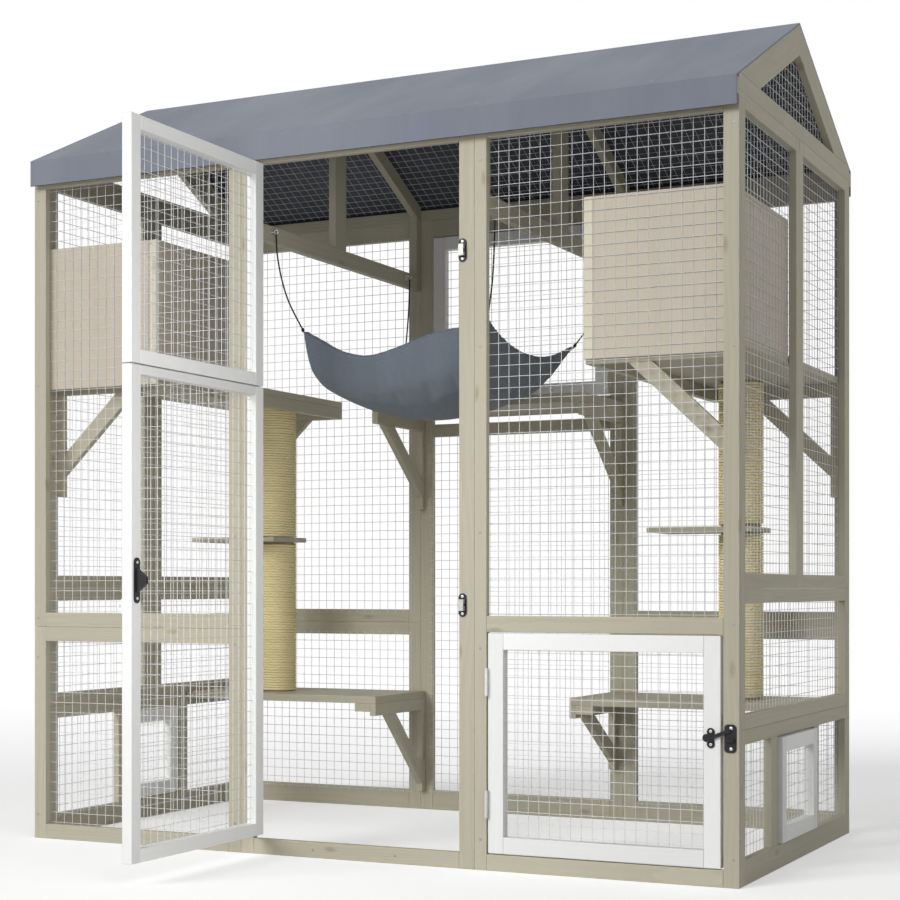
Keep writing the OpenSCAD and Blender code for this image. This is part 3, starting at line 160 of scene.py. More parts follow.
# Stained or painted softwood; its grain runs along each board
def wood_material(name, light, dark, knot, edge_color, ring_share, bump_depth, rough, edge_share):
    mat, tree, bsdf = new_material(name)
    grain = attribute(tree, "grain")
    tone = attribute(tree, "tone", "Fac")
    edge = attribute(tree, "edge", "Fac")
    sway = add(tree, "ShaderNodeTexNoise", {"Vector": grain, "Scale": 2.2, "Detail": 2.0})
    bent = stretch(tree, sway.outputs["Color"], (0.0, 0.03, 0.03))
    curved = add(tree, "ShaderNodeVectorMath", {0: grain, 1: bent}, operation="ADD").outputs[0]
    rings = add(tree, "ShaderNodeTexWave",
                {"Vector": curved, "Scale": 52.0, "Distortion": 1.6, "Detail": 2.0, "Detail Scale": 0.6},
                wave_type="RINGS", rings_direction="X", wave_profile="SAW").outputs["Fac"]
    streaks = noise_fac(tree, stretch(tree, grain, (1.6, 60.0, 60.0)), 1.0, 5.0, 0.6)
    fibres = noise_fac(tree, stretch(tree, grain, (14.0, 900.0, 900.0)), 1.0, 2.0)
    cloud = noise_fac(tree, grain, 5.0, 3.0)
    mixed = weighted(tree, rings, ring_share, streaks, 0.75 - ring_share)
    mixed = plus(tree, mixed, times(tree, fibres, 0.25))
    factor = remap(tree, mixed, 0.28, 0.72)
    color = mix_color(tree, factor, dark, light)
    knot_place = stretch(tree, curved, (2.6, 7.0, 1.0))
    spots = add(tree, "ShaderNodeTexVoronoi", {"Vector": knot_place, "Scale": 1.0},
                voronoi_dimensions="2D").outputs["Distance"]
    color = mix_color(tree, remap(tree, spots, 0.06, 0.02, 0.0, 0.8), color, knot)
    color = mix_color(tree, remap(tree, cloud, 0.35, 0.75, 0.0, 0.22), color, dark)
    patches = remap(tree, noise_fac(tree, grain, 60.0), 0.35, 0.7, 0.0, edge_share)
    color = mix_color(tree, times(tree, edge, patches), color, edge_color)
    shade = remap(tree, tone, -1.0, 1.0, 0.93, 1.06)
    channels = {"Red": shade, "Green": shade, "Blue": shade}
    shade_color = add(tree, "ShaderNodeCombineColor", channels).outputs[0]
    color = mix_color(tree, 1.0, color, shade_color, "MULTIPLY")
    link(tree, color, bsdf, "Base Color")
    link(tree, remap(tree, fibres, 0.3, 0.7, rough - 0.06, rough + 0.08), bsdf, "Roughness")
    bump(tree, bsdf, plus(tree, times(tree, factor, 0.5), fibres), bump_depth)
    return mat


def metal_material(name, color, worn, metallic, rough, scale, bump_depth=0.0001):
    mat, tree, bsdf = new_material(name)
    place = position(tree)
    spots = noise_fac(tree, place, scale, 4.0, 0.6)
    fine = noise_fac(tree, place, scale * 6, 2.0)
    link(tree, mix_color(tree, remap(tree, spots, 0.35, 0.7), color, worn), bsdf, "Base Color")
    link(tree, remap(tree, fine, 0.3, 0.7, rough - 0.08, rough + 0.1), bsdf, "Roughness")
    bsdf.inputs["Metallic"].default_value = metallic
    bump(tree, bsdf, fine, bump_depth)
    return mat


# Thin roof sheet with a faint moulded grain and long soft stains down the slope
def roof_material(name, color, stain, rough):
    mat, tree, bsdf = new_material(name)
    place = position(tree)
    speckle = noise_fac(tree, place, 900.0, 2.0)
    cloud = noise_fac(tree, stretch(tree, place, (5.0, 1.6, 1.6)), 1.0, 4.0)
    streak = noise_fac(tree, stretch(tree, place, (40.0, 1.2, 1.2)), 1.0, 3.0)
    soft = weighted(tree, cloud, 0.6, streak, 0.4)
    base = mix_color(tree, remap(tree, soft, 0.4, 0.65), color, stain)
    light = tuple(min(1.0, c * 1.12) for c in color)
    link(tree, mix_color(tree, remap(tree, speckle, 0.5, 0.75, 0.0, 0.5), base, light), bsdf, "Base Color")
    link(tree, remap(tree, cloud, 0.3, 0.7, rough - 0.05, rough + 0.08), bsdf, "Roughness")
    bump(tree, bsdf, speckle, 0.00025)
    return mat


def threads(tree, place, scale, direction):
    return add(tree, "ShaderNodeTexWave",
               {"Vector": place, "Scale": scale, "Distortion": 0.6, "Detail": 1.0},
               bands_direction=direction).outputs["Fac"]


# Woven cloth; "weave" holds each point's place on the flat cloth
def cloth_material(name, color, dark, thread):
    mat, tree, bsdf = new_material(name)
    place = attribute(tree, "weave")
    weave = times(tree, threads(tree, place, thread, "X"), threads(tree, place, thread, "Y"))
    cloud = noise_fac(tree, place, 9.0, 4.0)
    lint = noise_fac(tree, place, 700.0, 2.0)
    shade = weighted(tree, weave, 0.45, cloud, 0.55)
    base = mix_color(tree, remap(tree, shade, 0.2, 0.75), dark, color)
    pale = tuple(min(1.0, c * 1.5) for c in color)
    link(tree, mix_color(tree, remap(tree, lint, 0.58, 0.75, 0.0, 0.35), base, pale), bsdf, "Base Color")
    bsdf.inputs["Roughness"].default_value = 0.88
    bsdf.inputs["Sheen Weight"].default_value = 0.25
    bsdf.inputs["Sheen Roughness"].default_value = 0.5
    bump(tree, bsdf, plus(tree, weave, times(tree, lint, 0.4)), 0.0003)
    return mat


# Twisted rope; "rope" holds the run along it and the turn around it
def rope_material(name, color, dark, pale, twist, strands):
    mat, tree, bsdf = new_material(name)
    place = attribute(tree, "rope")
    parts = add(tree, "ShaderNodeSeparateXYZ", {"Vector": place}).outputs
    phase = weighted(tree, parts["X"], 2 * math.pi / twist, parts["Y"], strands)
    lay = remap(tree, math_node(tree, "SINE", phase), -1.0, 1.0)
    fibres = noise_fac(tree, stretch(tree, place, (160.0, 5.0, 1.0)), 1.0, 4.0, 0.7)
    cloud = noise_fac(tree, stretch(tree, place, (4.0, 0.3, 1.0)), 1.0, 3.0)
    shade = weighted(tree, lay, 0.5, fibres, 0.5)
    base = mix_color(tree, remap(tree, shade, 0.15, 0.6), dark, color)
    base = mix_color(tree, remap(tree, cloud, 0.4, 0.75, 0.0, 0.5), base, pale)
    link(tree, base, bsdf, "Base Color")
    bsdf.inputs["Roughness"].default_value = 0.85
    bump(tree, bsdf, plus(tree, lay, times(tree, fibres, 0.5)), 0.0006)
    return mat


TIMBER = wood_material("timber", (0.505, 0.475, 0.365), (0.43, 0.40, 0.305), (0.33, 0.28, 0.19),
                       (0.60, 0.565, 0.45), 0.22, 0.00035, 0.6, 0.8)
BATTEN = wood_material("batten", (0.66, 0.62, 0.49), (0.58, 0.54, 0.42), (0.45, 0.40, 0.30),
                       (0.68, 0.64, 0.53), 0.22, 0.00035, 0.6, 0.8)
PANEL = wood_material("panel_board", (0.56, 0.50, 0.41), (0.49, 0.435, 0.35), (0.50, 0.44, 0.34),
                      (0.66, 0.61, 0.51), 0.15, 0.0002, 0.62, 0.6)
WHITE = wood_material("white_paint", (0.86, 0.86, 0.85), (0.83, 0.83, 0.82), (0.88, 0.875, 0.855),
                      (0.82, 0.81, 0.785), 0.25, 0.00018, 0.42, 0.5)
ROOF = roof_material("roof_sheet", (0.160, 0.178, 0.222), (0.144, 0.162, 0.206), 0.55)
# Darker copy of the roof sheet for its downward faces: painted shade on the underside, not a colour of the
# sheet itself
ROOF_PAINTED_SHADE = roof_material("roof_underside_painted_shade", (0.052, 0.06, 0.083), (0.04, 0.047, 0.066), 0.6)
WIRE = metal_material("galvanised_wire", (0.72, 0.73, 0.73), (0.60, 0.61, 0.61), 0.15, 0.45, 60.0)
ZINC = metal_material("zinc", (0.66, 0.66, 0.65), (0.5, 0.5, 0.49), 0.85, 0.33, 240.0)
DULL_ZINC = metal_material("dull_zinc", (0.36, 0.36, 0.33), (0.28, 0.28, 0.26), 0.5, 0.5, 240.0)
BLACK = metal_material("black_coat", (0.014, 0.014, 0.016), (0.028, 0.028, 0.031), 0.0, 0.34, 300.0)
CORE = metal_material("post_core", (0.42, 0.33, 0.2), (0.36, 0.28, 0.17), 0.0, 0.8, 90.0, 0.0004)
CLOTH = cloth_material("hammock_cloth", (0.185, 0.218, 0.262), (0.125, 0.15, 0.185), 420.0)
THREAD = metal_material("stitching", (0.17, 0.195, 0.235), (0.12, 0.14, 0.17), 0.0, 0.8, 400.0)
SISAL = rope_material("sisal", (0.97, 0.86, 0.50), (0.86, 0.73, 0.40), (0.97, 0.89, 0.60), 0.019, 3)
CORD = rope_material("cord_braid", (0.025, 0.025, 0.028), (0.01, 0.01, 0.011), (0.035, 0.035, 0.04),
                     0.004, 6)
COAT = metal_material("white_coat", (0.86, 0.86, 0.85), (0.82, 0.82, 0.81), 0.0, 0.4, 300.0)


# Black plates whose staples, the parts that stand proud on the door posts, are bare zinc
def keeper_material(name, staple_y, staple_x):
    mat, tree, bsdf = new_material(name)
    parts = add(tree, "ShaderNodeSeparateXYZ", {"Vector": position(tree)}).outputs
    proud = math_node(tree, "LESS_THAN", parts["Y"], staple_y)
    staple = times(tree, proud, math_node(tree, "LESS_THAN", parts["X"], staple_x))
    fine = noise_fac(tree, position(tree), 900.0, 3.0)
    black = mix_color(tree, fine, (0.014, 0.014, 0.016), (0.028, 0.028, 0.031))
    zinc = mix_color(tree, fine, (0.40, 0.40, 0.37), (0.55, 0.55, 0.51))
    link(tree, mix_color(tree, staple, black, zinc), bsdf, "Base Color")
    link(tree, remap(tree, fine, 0.3, 0.7, 0.32, 0.46), bsdf, "Roughness")
    link(tree, times(tree, staple, 0.5), bsdf, "Metallic")
    bump(tree, bsdf, fine, 0.0001)
    return mat


# The staples stand in front of this plane, and left of this place
STAPLE_Y = -0.0115
STAPLE_X = 0.5
KEEPER = keeper_material("keepers", STAPLE_Y, STAPLE_X)
for coated in (BLACK, KEEPER):
    coated.node_tree.nodes["Principled BSDF"].inputs["Specular IOR Level"].default_value = 0.22
LOOKS = {
    "stained_timber": TIMBER,
    "white_boards": WHITE,
    "cubby_panel": PANEL,
    "roof_sheet": ROOF,
    "welded_wire": WIRE,
    "white_hardware": COAT,
    "zinc_hardware": ZINC,
    "black_hardware": BLACK,
    "post_core": CORE,
    "sisal_rope": SISAL,
    "hammock_cloth": CLOTH,
    "cord": CORD,
}

for cad_name, cad_node in frame["nodes"].items():
    for slot in cad_node.material_slots:
        slot.material = KEEPER if cad_name == "door_keepers" else LOOKS[SLOT[cad_name]]


# Pieces
def piece_from(name, bm, material, body, slot_name, smooth=False):
    mesh = bpy.data.meshes.new(name)
    bm.to_mesh(mesh)
    bm.free()
    for material_item in material if isinstance(material, list) else [material]:
        mesh.materials.append(material_item)
    if smooth:
        mesh.polygons.foreach_set("use_smooth", [True] * len(mesh.polygons))
    obj = bpy.data.objects.new(name, mesh)
    bpy.context.collection.objects.link(obj)
    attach(obj, body)
    return obj


def islands(bm):
    seen = set()
    for start in bm.verts:
        if start in seen:
            continue
        seen.add(start)
        stack = [start]
        part = []
        while stack:
            vert = stack.pop()
            part.append(vert)
            for e in vert.link_edges:
                other = e.other_vert(vert)
                if other not in seen:
                    seen.add(other)
                    stack.append(other)
        yield part


def edges_of(part):
    """Each edge of a piece once, always in the same order."""
    return list(dict.fromkeys(e for v in part for e in v.link_edges))


def faces_of(part):
    """Each face of a piece once, always in the same order."""
    return list(dict.fromkeys(f for v in part for f in v.link_faces))


def clean_copy(node):
    bm = bmesh.new()
    bm.from_mesh(frame["nodes"][node].data)
    bmesh.ops.remove_doubles(bm, verts=bm.verts, dist=1e-5)
    bmesh.ops.dissolve_limit(bm, angle_limit=0.02, verts=bm.verts, edges=bm.edges)
    return bm


def soften(bm, width):
    """Rounds all sharp edges a little."""
    sharp = [e for e in bm.edges if len(e.link_faces) == 2 and e.calc_face_angle() > 0.3]
    bmesh.ops.bevel(bm, geom=sharp, offset=width, segments=2, profile=0.5, affect="EDGES",
                    clamp_overlap=True)


def box_of(points):
    """Lowest and highest corner of some points."""
    return (Vector(min(p[i] for p in points) for i in range(3)),
            Vector(max(p[i] for p in points) for i in range(3)))


def mark_grain(bm, rng, bevel):
    """Gives each board its own grain direction, tone and worn edges."""
    grain = bm.verts.layers.float_vector.new("grain")
    tone = bm.verts.layers.float.new("tone")
    edge = bm.faces.layers.float.new("edge")
    for face in bm.faces:
        longest = max(e.calc_length() for e in face.edges)
        face[edge] = 1.0 if face.calc_area() < 1.3 * bevel * longest else 0.0
    for part in islands(bm):
        run = max(edges_of(part), key=lambda e: e.calc_length())
        along = (run.verts[1].co - run.verts[0].co).normalized()
        low, high = box_of([v.co for v in part])
        flat = min((i for i in range(3) if abs(along[i]) < 0.05), key=lambda i: high[i] - low[i])
        thick = Vector([float(i == flat) for i in range(3)])
        across = along.cross(thick).normalized()
        centre = (low + high) / 2
        shift = Vector((rng.uniform(0, 9), rng.uniform(-0.07, 0.07), rng.uniform(0.02, 0.12)))
        value = rng.uniform(-1, 1)
        for v in part:
            d = v.co - centre
            v[grain] = Vector((d.dot(along), d.dot(across), d.dot(thick))) + shift
            v[tone] = value


BOARD_ROUND = 0.0013
SHEET_ROUND = 0.0009
SLIM_BOARD = 0.025


def dress_boards(node, material, slim=None):
    """slim: material of the boards that are slim both ways."""
    bm = clean_copy(node)
    if slim:
        for part in islands(bm):
            low, high = box_of([v.co for v in part])
            if sorted(high - low)[1] < SLIM_BOARD:
                for face in faces_of(part):
                    face.material_index = 1
    soften(bm, BOARD_ROUND)
    mark_grain(bm, random.Random(zlib.crc32(node.encode())), BOARD_ROUND)
    obj = piece_from(node + "_boards", bm, [material, slim] if slim else material, BODY[node], SLOT[node])
    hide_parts(node)
    return obj


for wood_node, wood_slot in SLOT.items():
    if wood_slot in ("stained_timber", "white_boards", "cubby_panel"):
        dress_boards(wood_node, LOOKS[wood_slot], slim=BATTEN if wood_slot == "cubby_panel" else None)

# Roof sheets, with rounded bends; their downward faces take a darker copy of the sheet's material, painted
# shade on the underside
for sheet_node in ("front_roof_sheet", "back_roof_sheet"):
    bm = clean_copy(sheet_node)
    soften(bm, SHEET_ROUND)
    for face in bm.faces:
        face.normal_update()
        # Faces that point down get the darker copy, the painted shade of the underside
        face.material_index = 1 if face.normal.z < -0.3 else 0
    roof = piece_from(sheet_node + "_skin", bm, [ROOF, ROOF_PAINTED_SHADE], "root", "roof_sheet")
    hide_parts(sheet_node)


# Round bars and tubes
def square_to(axis):
    """A unit vector at right angles to the axis."""
    return axis.cross(Vector((0, 0, 1)) if abs(axis.z) < 0.9 else Vector((1, 0, 0))).normalized()


def round_spots(centre, radius, side, other, count):
    """Points of a circle that starts at side and turns towards other."""
    return [centre + radius * (math.cos(t) * side + math.sin(t) * other)
            for t in (2 * math.pi * k / count for k in range(count))]


def skin(bm, rings):
    """Closed skin over rings of points, with flat ends."""
    sides = len(rings[0])
    for a, b in zip(rings, rings[1:]):
        for k in range(sides):
            n = (k + 1) % sides
            bm.faces.new((a[k], a[n], b[n], b[k]))
    bm.faces.new(rings[0][::-1])
    bm.faces.new(rings[-1])


def rod(bm, a, b, radius, sides=6):
    """Straight wire from a to b."""
    axis = (b - a).normalized()
    side = square_to(axis)
    other = axis.cross(side)
    skin(bm, [[bm.verts.new(p) for p in round_spots(end, radius, side, other, sides)] for end in (a, b)])


def tube(bm, path, radius, sides, layer, start_run=0.0):
    """Tube along a path; the layer keeps the run and the turn for the rope's look."""
    rings = []
    run = start_run
    side = None
    for i, point in enumerate(path):
        ahead = path[min(i + 1, len(path) - 1)]
        behind = path[max(i - 1, 0)]
        tangent = (ahead - behind).normalized()
        if side is None:
            side = square_to(tangent)
        side = (side - tangent * side.dot(tangent)).normalized()
        if i:
            run += (point - path[i - 1]).length
        ring = [bm.verts.new(p) for p in round_spots(point, radius, side, tangent.cross(side), sides)]
        for k, vert in enumerate(ring):
            vert[layer] = Vector((run, 2 * math.pi * k / sides, 0.0))
        rings.append(ring)
    skin(bm, rings)
    return run


# Welded wire: every real wire of each panel, cut to the panel's outline
PITCH = 0.0254
WIRE_R = 0.0007
EDGE_ROOM = 0.004
SHORTEST_WIRE = 0.012


def hull_2d(points):
    points = sorted(set((round(x, 6), round(y, 6)) for x, y in points))

    def half(items):
        out = []
        for p in items:
            while len(out) > 1 and ((out[-1][0] - out[-2][0]) * (p[1] - out[-2][1])
                                    - (out[-1][1] - out[-2][1]) * (p[0] - out[-2][0])) <= 0:
                out.pop()
            out.append(p)
        return out[:-1]

    return half(points) + half(points[::-1])


def span_at(outline, index, value):
    """Lowest and highest point of a convex outline on the line where coordinate index has that value."""
    hits = []
    for p, q in zip(outline, outline[1:] + outline[:1]):
        if (p[index] - value) * (q[index] - value) < 0:
            t = (value - p[index]) / (q[index] - p[index])
            hits.append(p[1 - index] + t * (q[1 - index] - p[1 - index]))
    return (min(hits), max(hits)) if len(hits) > 1 else None


def weave_wire(node):
    source = clean_copy(node)
    bm = bmesh.new()
    for part in islands(source):
        flat = max(faces_of(part), key=lambda f: f.calc_area()).normal.copy()
        u = Vector((0, 0, 1)).cross(flat)
        u = u.normalized() if u.length > 0.1 else Vector((1, 0, 0))
        v = flat.cross(u).normalized()
        middle = sum((w.co for w in part), Vector()) / len(part)
        outline = hull_2d([((w.co - middle).dot(u), (w.co - middle).dot(v)) for w in part])
        for index, lift in ((0, -0.45), (1, 0.45)):
            low = min(p[index] for p in outline)
            high = max(p[index] for p in outline)
            count = int((high - low - EDGE_ROOM) / PITCH)
            start = (low + high - count * PITCH) / 2
            for k in range(count + 1):
                value = start + k * PITCH
                span = span_at(outline, index, value)
                if span is None or span[1] - span[0] < SHORTEST_WIRE:
                    continue
                axes = (u, v) if index == 0 else (v, u)
                ends = [middle + axes[0] * value + axes[1] * s + flat * (lift * 2 * WIRE_R) for s in span]
                rod(bm, ends[0], ends[1], WIRE_R)
    source.free()
    obj = piece_from(node + "_wire", bm, WIRE, BODY[node], "welded_wire")
    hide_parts(node)


for mesh_node in SLOT:
    if SLOT[mesh_node] == "welded_wire":
        weave_wire(mesh_node)


# Screws: domed heads with a cross recess, at the places of the CAD heads
def screw_mesh(radius, height):
    bm = bmesh.new()
    rings = 20
    levels = ((1.0, 0.0), (1.0, 0.35), (0.86, 0.8), (0.55, 0.97))
    loops = []
    for share, up in levels:
        loops.append([bm.verts.new((radius * share * math.cos(2 * math.pi * k / rings),
                                    radius * share * math.sin(2 * math.pi * k / rings), height * up))
                      for k in range(rings)])
    for a, b in zip(loops, loops[1:]):
        for k in range(rings):
            n = (k + 1) % rings
            bm.faces.new((a[k], a[n], b[n], b[k]))
    bm.faces.new(loops[0][::-1])
    arm, slot_w = 0.5 * radius, 0.14 * radius
    quarter = [(slot_w, slot_w), (arm, slot_w), (arm, -slot_w)]
    cross = []
    for _ in range(4):
        cross += quarter
        quarter = [(y, -x) for x, y in quarter]
    top = [bm.verts.new((x, y, height)) for x, y in cross]
    floor = [bm.verts.new((x * 0.8, y * 0.8, height * 0.35)) for x, y in cross]
    for k in range(len(cross)):
        n = (k + 1) % len(cross)
        bm.faces.new((top[k], top[n], floor[n], floor[k]))
    bm.faces.new(floor[::-1])
    outer = [e for e in bm.edges if len(e.link_faces) == 1]
    bmesh.ops.triangle_fill(bm, edges=outer, use_beauty=True)
    bmesh.ops.recalc_face_normals(bm, faces=bm.faces)
    mesh = bpy.data.meshes.new("screw_shape")
    bm.to_mesh(mesh)
    bm.free()
    return mesh


FLAT_HEAD_H = 0.0008
SCREW = screw_mesh(0.0035, FLAT_HEAD_H)
PAN_SCREW = screw_mesh(0.0036, 0.0016)


def place_screws(name, spots, material, body, slot_name, shape):
    """spots: (place of the head's foot, outward normal, turn)."""
    bm = bmesh.new()
    for place, normal, turn in spots:
        rotation = Vector(normal).to_track_quat("Z", "Y").to_matrix().to_4x4()
        start = len(bm.verts)
        bm.from_mesh(shape)
        bm.verts.ensure_lookup_table()
        bmesh.ops.transform(bm, matrix=Matrix.Translation(place) @ rotation @ Matrix.Rotation(turn, 4, "Z"),
                            verts=bm.verts[start:])
    return piece_from(name, bm, material, body, slot_name)


screw_source = clean_copy("screws")
screw_spots = []
screw_rng = random.Random(7)
room_middle = Vector(((cad_box[0][0] + cad_box[1][0]) / 2, 0.48, 0.9))
for part in islands(screw_source):
    cap = max(faces_of(part), key=lambda f: f.calc_area())
    middle = sum((w.co for w in part), Vector()) / len(part)
    outward = cap.normal.copy()
    if outward.dot(middle - room_middle) < 0:
        outward.negate()
    foot = middle - outward * (FLAT_HEAD_H / 2)
    screw_spots.append((foot, outward, screw_rng.uniform(0, 1.5)))
screw_source.free()
screws = place_screws("screw_heads", screw_spots, DULL_ZINC, "root", "zinc_hardware", SCREW)
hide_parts("screws")


# Bright screws on the black plates of the latches, each at its distance from the plate's middle
FRONT = Vector((0, -1, 0))
KEEPER_FACE_Y = -0.011
LATCH_FACE_Y = -0.0115
KEEPER_Z = (1.400, 0.597)
KEEPER_SCREW_Z = 0.0195
CATCH_SCREW_Z = 0.022
LOBE_SCREW_Z = 0.014
LOBE_R = 0.0085
LEVER_SCREW_IN = 0.010
keepers_low, keepers_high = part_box("door_keepers")
latch_low, latch_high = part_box("hatch_latch_plate")
lever_low, lever_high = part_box("latch_lever_plate")
keeper_x = keepers_low[0] + 0.010
catch_x = keepers_high[0] - 0.011
lobe_x = latch_high[0] - LOBE_R
latch_z = (latch_low[2] + latch_high[2]) / 2
lever_y = (lever_low[1] + lever_high[1]) / 2
sunk_y = LATCH_FACE_Y + 0.0006


def front_pair(x, y, z, apart):
    """Two screws on a front face, one under and one over z."""
    return [((x, y, z + dz), FRONT) for dz in (-apart, apart)]


keeper_spots = [spot for z in KEEPER_Z for spot in front_pair(keeper_x, KEEPER_FACE_Y, z, KEEPER_SCREW_Z)]
keeper_spots += front_pair(catch_x, LATCH_FACE_Y, latch_z, CATCH_SCREW_Z)
lever_spots = [((lever_high[0], lever_y, z), Vector((1, 0, 0)))
               for z in (lever_low[2] + LEVER_SCREW_IN, lever_high[2] - LEVER_SCREW_IN)]
plate_spots = {
    "keeper": ("root", PAN_SCREW, keeper_spots),
    "hatch_latch": ("front_hatch", SCREW, front_pair(lobe_x, sunk_y, latch_z, LOBE_SCREW_Z)),
    "lever": ("lower_leaf", PAN_SCREW, lever_spots),
}
for plate, (plate_body, shape, spots) in plate_spots.items():
    turned = [(Vector(place), normal, screw_rng.uniform(0, 1.5)) for place, normal in spots]
    place_screws(plate + "_screws", turned, ZINC, plate_body, "zinc_hardware", shape)


# Sisal: the whole winding of each post, rope turn on rope turn
POST_R = 0.0575
POST_Y = 0.791
ROPE_R = 0.0036
ROPE_PITCH = 0.0072
TURN_STEPS = 40
STEP_T = 0.013
BOARD_T = 0.017
WANDER = 0.0002
STEP_LOW = {"left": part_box("step_boards")[0][2], "right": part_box("step_boards")[1][2] - STEP_T}


def rope_path(centre, sign, z_low, z_high):
    """Helix that fills the height, with small wanderings."""
    turns = int((z_high - z_low - 2 * ROPE_R) / ROPE_PITCH)
    start_z = (z_low + z_high - turns * ROPE_PITCH) / 2
    path = []
    for i in range(turns * TURN_STEPS + 1):
        a = sign * 2 * math.pi * i / TURN_STEPS + 0.6
        slack = WANDER * noise.noise(Vector((i * 0.05, sign * 7.0, z_low * 9)))
        radius = POST_R - ROPE_R - WANDER + slack
        rise = 0.0005 * noise.noise(Vector((i * 0.021, 3.0 + sign, z_low * 5)))
        z = start_z + ROPE_PITCH * i / TURN_STEPS + rise
        path.append(centre + Vector((radius * math.cos(a), radius * math.sin(a), z)))
    return path


for side_name, sign in (("left", -1), ("right", 1)):
    low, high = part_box(side_name + "_post_sisal")
    centre = Vector(((low[0] + high[0]) / 2, POST_Y, 0))
    shelf_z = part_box(side_name + "_lower_shelf")[1][2]
    step_z = STEP_LOW[side_name]
    platform_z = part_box(side_name + "_platform")[1][2] - BOARD_T
    rng = random.Random(21 + sign)
    bm = bmesh.new()
    layer = bm.verts.layers.float_vector.new("rope")
    for z_low, z_high in ((shelf_z, step_z), (step_z + STEP_T, platform_z)):
        tube(bm, rope_path(centre, sign, z_low, z_high), ROPE_R, 7, layer, rng.uniform(0, 1))
    winding = piece_from(side_name + "_sisal_winding", bm, SISAL, "root", "sisal_rope", smooth=True)
    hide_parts(side_name + "_post_sisal")


# Hammock: the sewn sling, its hem, stitching and cords
HALF_X, HALF_Y, MID_Y, CORNER_Z = 0.25, 0.275, 0.4665, 1.27
RIM_SAG, BOWL, PULL_IN = 0.052, 0.143, 0.035
WALL_SHARE, WALL_POWER = 0.53, 34
FRONT_TILT, FRONT_SLACK = 0.285, 1.4


def sling(u, v):
    """The sewn bag, u across and v from front to back, each from -1 to 1.

    Its front and side walls are steep, and its front edge hangs lower on the right."""
    slack = FRONT_SLACK * u * (1 - u * u) * v ** 8 if v < 0 else 0.0
    sag = RIM_SAG * (1 - u * u * v * v) * (1 - slack)
    wall = (1 - max(abs(u), -v) ** WALL_POWER) * (1 - max(v, 0.0) ** 3)
    soft = (1 - u * u) * (1 - v * v)
    depth = BOWL * (WALL_SHARE * wall + (1 - WALL_SHARE) * soft) * (1 - FRONT_TILT * v)
    return Vector((HALF_X * u * (1 - PULL_IN * (1 - v * v)),
                   MID_Y + HALF_Y * v * (1 - PULL_IN * (1 - u * u)),
                   CORNER_Z - sag - depth))


CELLS = 60


def spread(k):
    return math.sin(math.pi * (k / CELLS - 0.5))


bm = bmesh.new()
weave_layer = bm.verts.layers.float_vector.new("weave")
grid = []
for j in range(CELLS + 1):
    row = []
    for i in range(CELLS + 1):
        u, v = spread(i), spread(j)
        vert = bm.verts.new(sling(u, v))
        vert[weave_layer] = Vector((u * 0.3, v * 0.33, 0.0))
        row.append(vert)
    grid.append(row)
for j in range(CELLS):
    for i in range(CELLS):
        bm.faces.new((grid[j][i], grid[j][i + 1], grid[j + 1][i + 1], grid[j + 1][i]))
hammock = piece_from("hammock_cloth", bm, CLOTH, "root", "hammock_cloth", smooth=True)


# Share of the half width from which the corners and the rim are held, and how firm the rim is
CORNER_FROM, RIM_FROM, RIM_HOLD = 0.96, 0.93, 0.6


def settle_cloth(obj, frames, slack, cap):
    """Lets the cloth hang from its corners, with a little spare cloth so that it creases.

    slack: spare share of the cloth's length; cap: how far a point may move."""
    start = np.array([v.co[:] for v in obj.data.vertices])
    pins = obj.vertex_groups.new(name="pins")
    count = CELLS + 1
    for j in range(count):
        for i in range(count):
            u, v = abs(spread(i)), abs(spread(j))
            if min(u, v) > CORNER_FROM:
                pins.add([j * count + i], 1.0, "REPLACE")
            elif max(u, v) > RIM_FROM:
                pins.add([j * count + i], RIM_HOLD, "REPLACE")
    cloth = obj.modifiers.new("cloth", "CLOTH")
    settings = cloth.settings
    settings.quality = 8
    settings.mass = 0.25
    settings.tension_stiffness = 25
    settings.compression_stiffness = 8
    settings.shear_stiffness = 6
    settings.bending_stiffness = 0.6
    settings.shrink_min = -slack
    settings.vertex_group_mass = "pins"
    settings.pin_stiffness = 1.0
    cloth.collision_settings.use_collision = False
    cloth.collision_settings.use_self_collision = False
    scene = bpy.context.scene
    scene.frame_start, scene.frame_end = 1, frames
    cloth.point_cache.frame_start, cloth.point_cache.frame_end = 1, frames
    for f in range(1, frames + 1):
        scene.frame_set(f)
    graph = bpy.context.evaluated_depsgraph_get()
    done = obj.evaluated_get(graph).to_mesh()
    end = np.array([v.co[:] for v in done.vertices])
    obj.evaluated_get(graph).to_mesh_clear()
    move = end - start
    length = np.linalg.norm(move, axis=1, keepdims=True)
    move *= np.minimum(1.0, cap / np.maximum(length, 1e-9))
    obj.modifiers.remove(cloth)
    obj.vertex_groups.remove(pins)
    scene.frame_set(1)
    obj.data.vertices.foreach_set("co", (start + move).ravel())
    obj.data.update()


settle_cloth(hammock, 30, 0.035, 0.008)
rim_index = (list(range(CELLS + 1))
             + [j * (CELLS + 1) + CELLS for j in range(1, CELLS + 1)]
             + [CELLS * (CELLS + 1) + i for i in range(CELLS - 1, -1, -1)]
             + [j * (CELLS + 1) for j in range(CELLS - 1, 0, -1)])
rim = [hammock.data.vertices[i].co.copy() for i in rim_index]
thick = hammock.modifiers.new("thickness", "SOLIDIFY")
thick.thickness = 0.0022
thick.offset = 0.0
smooth = hammock.modifiers.new("smooth", "SUBSURF")
smooth.levels = smooth.render_levels = 1
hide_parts("hammock")

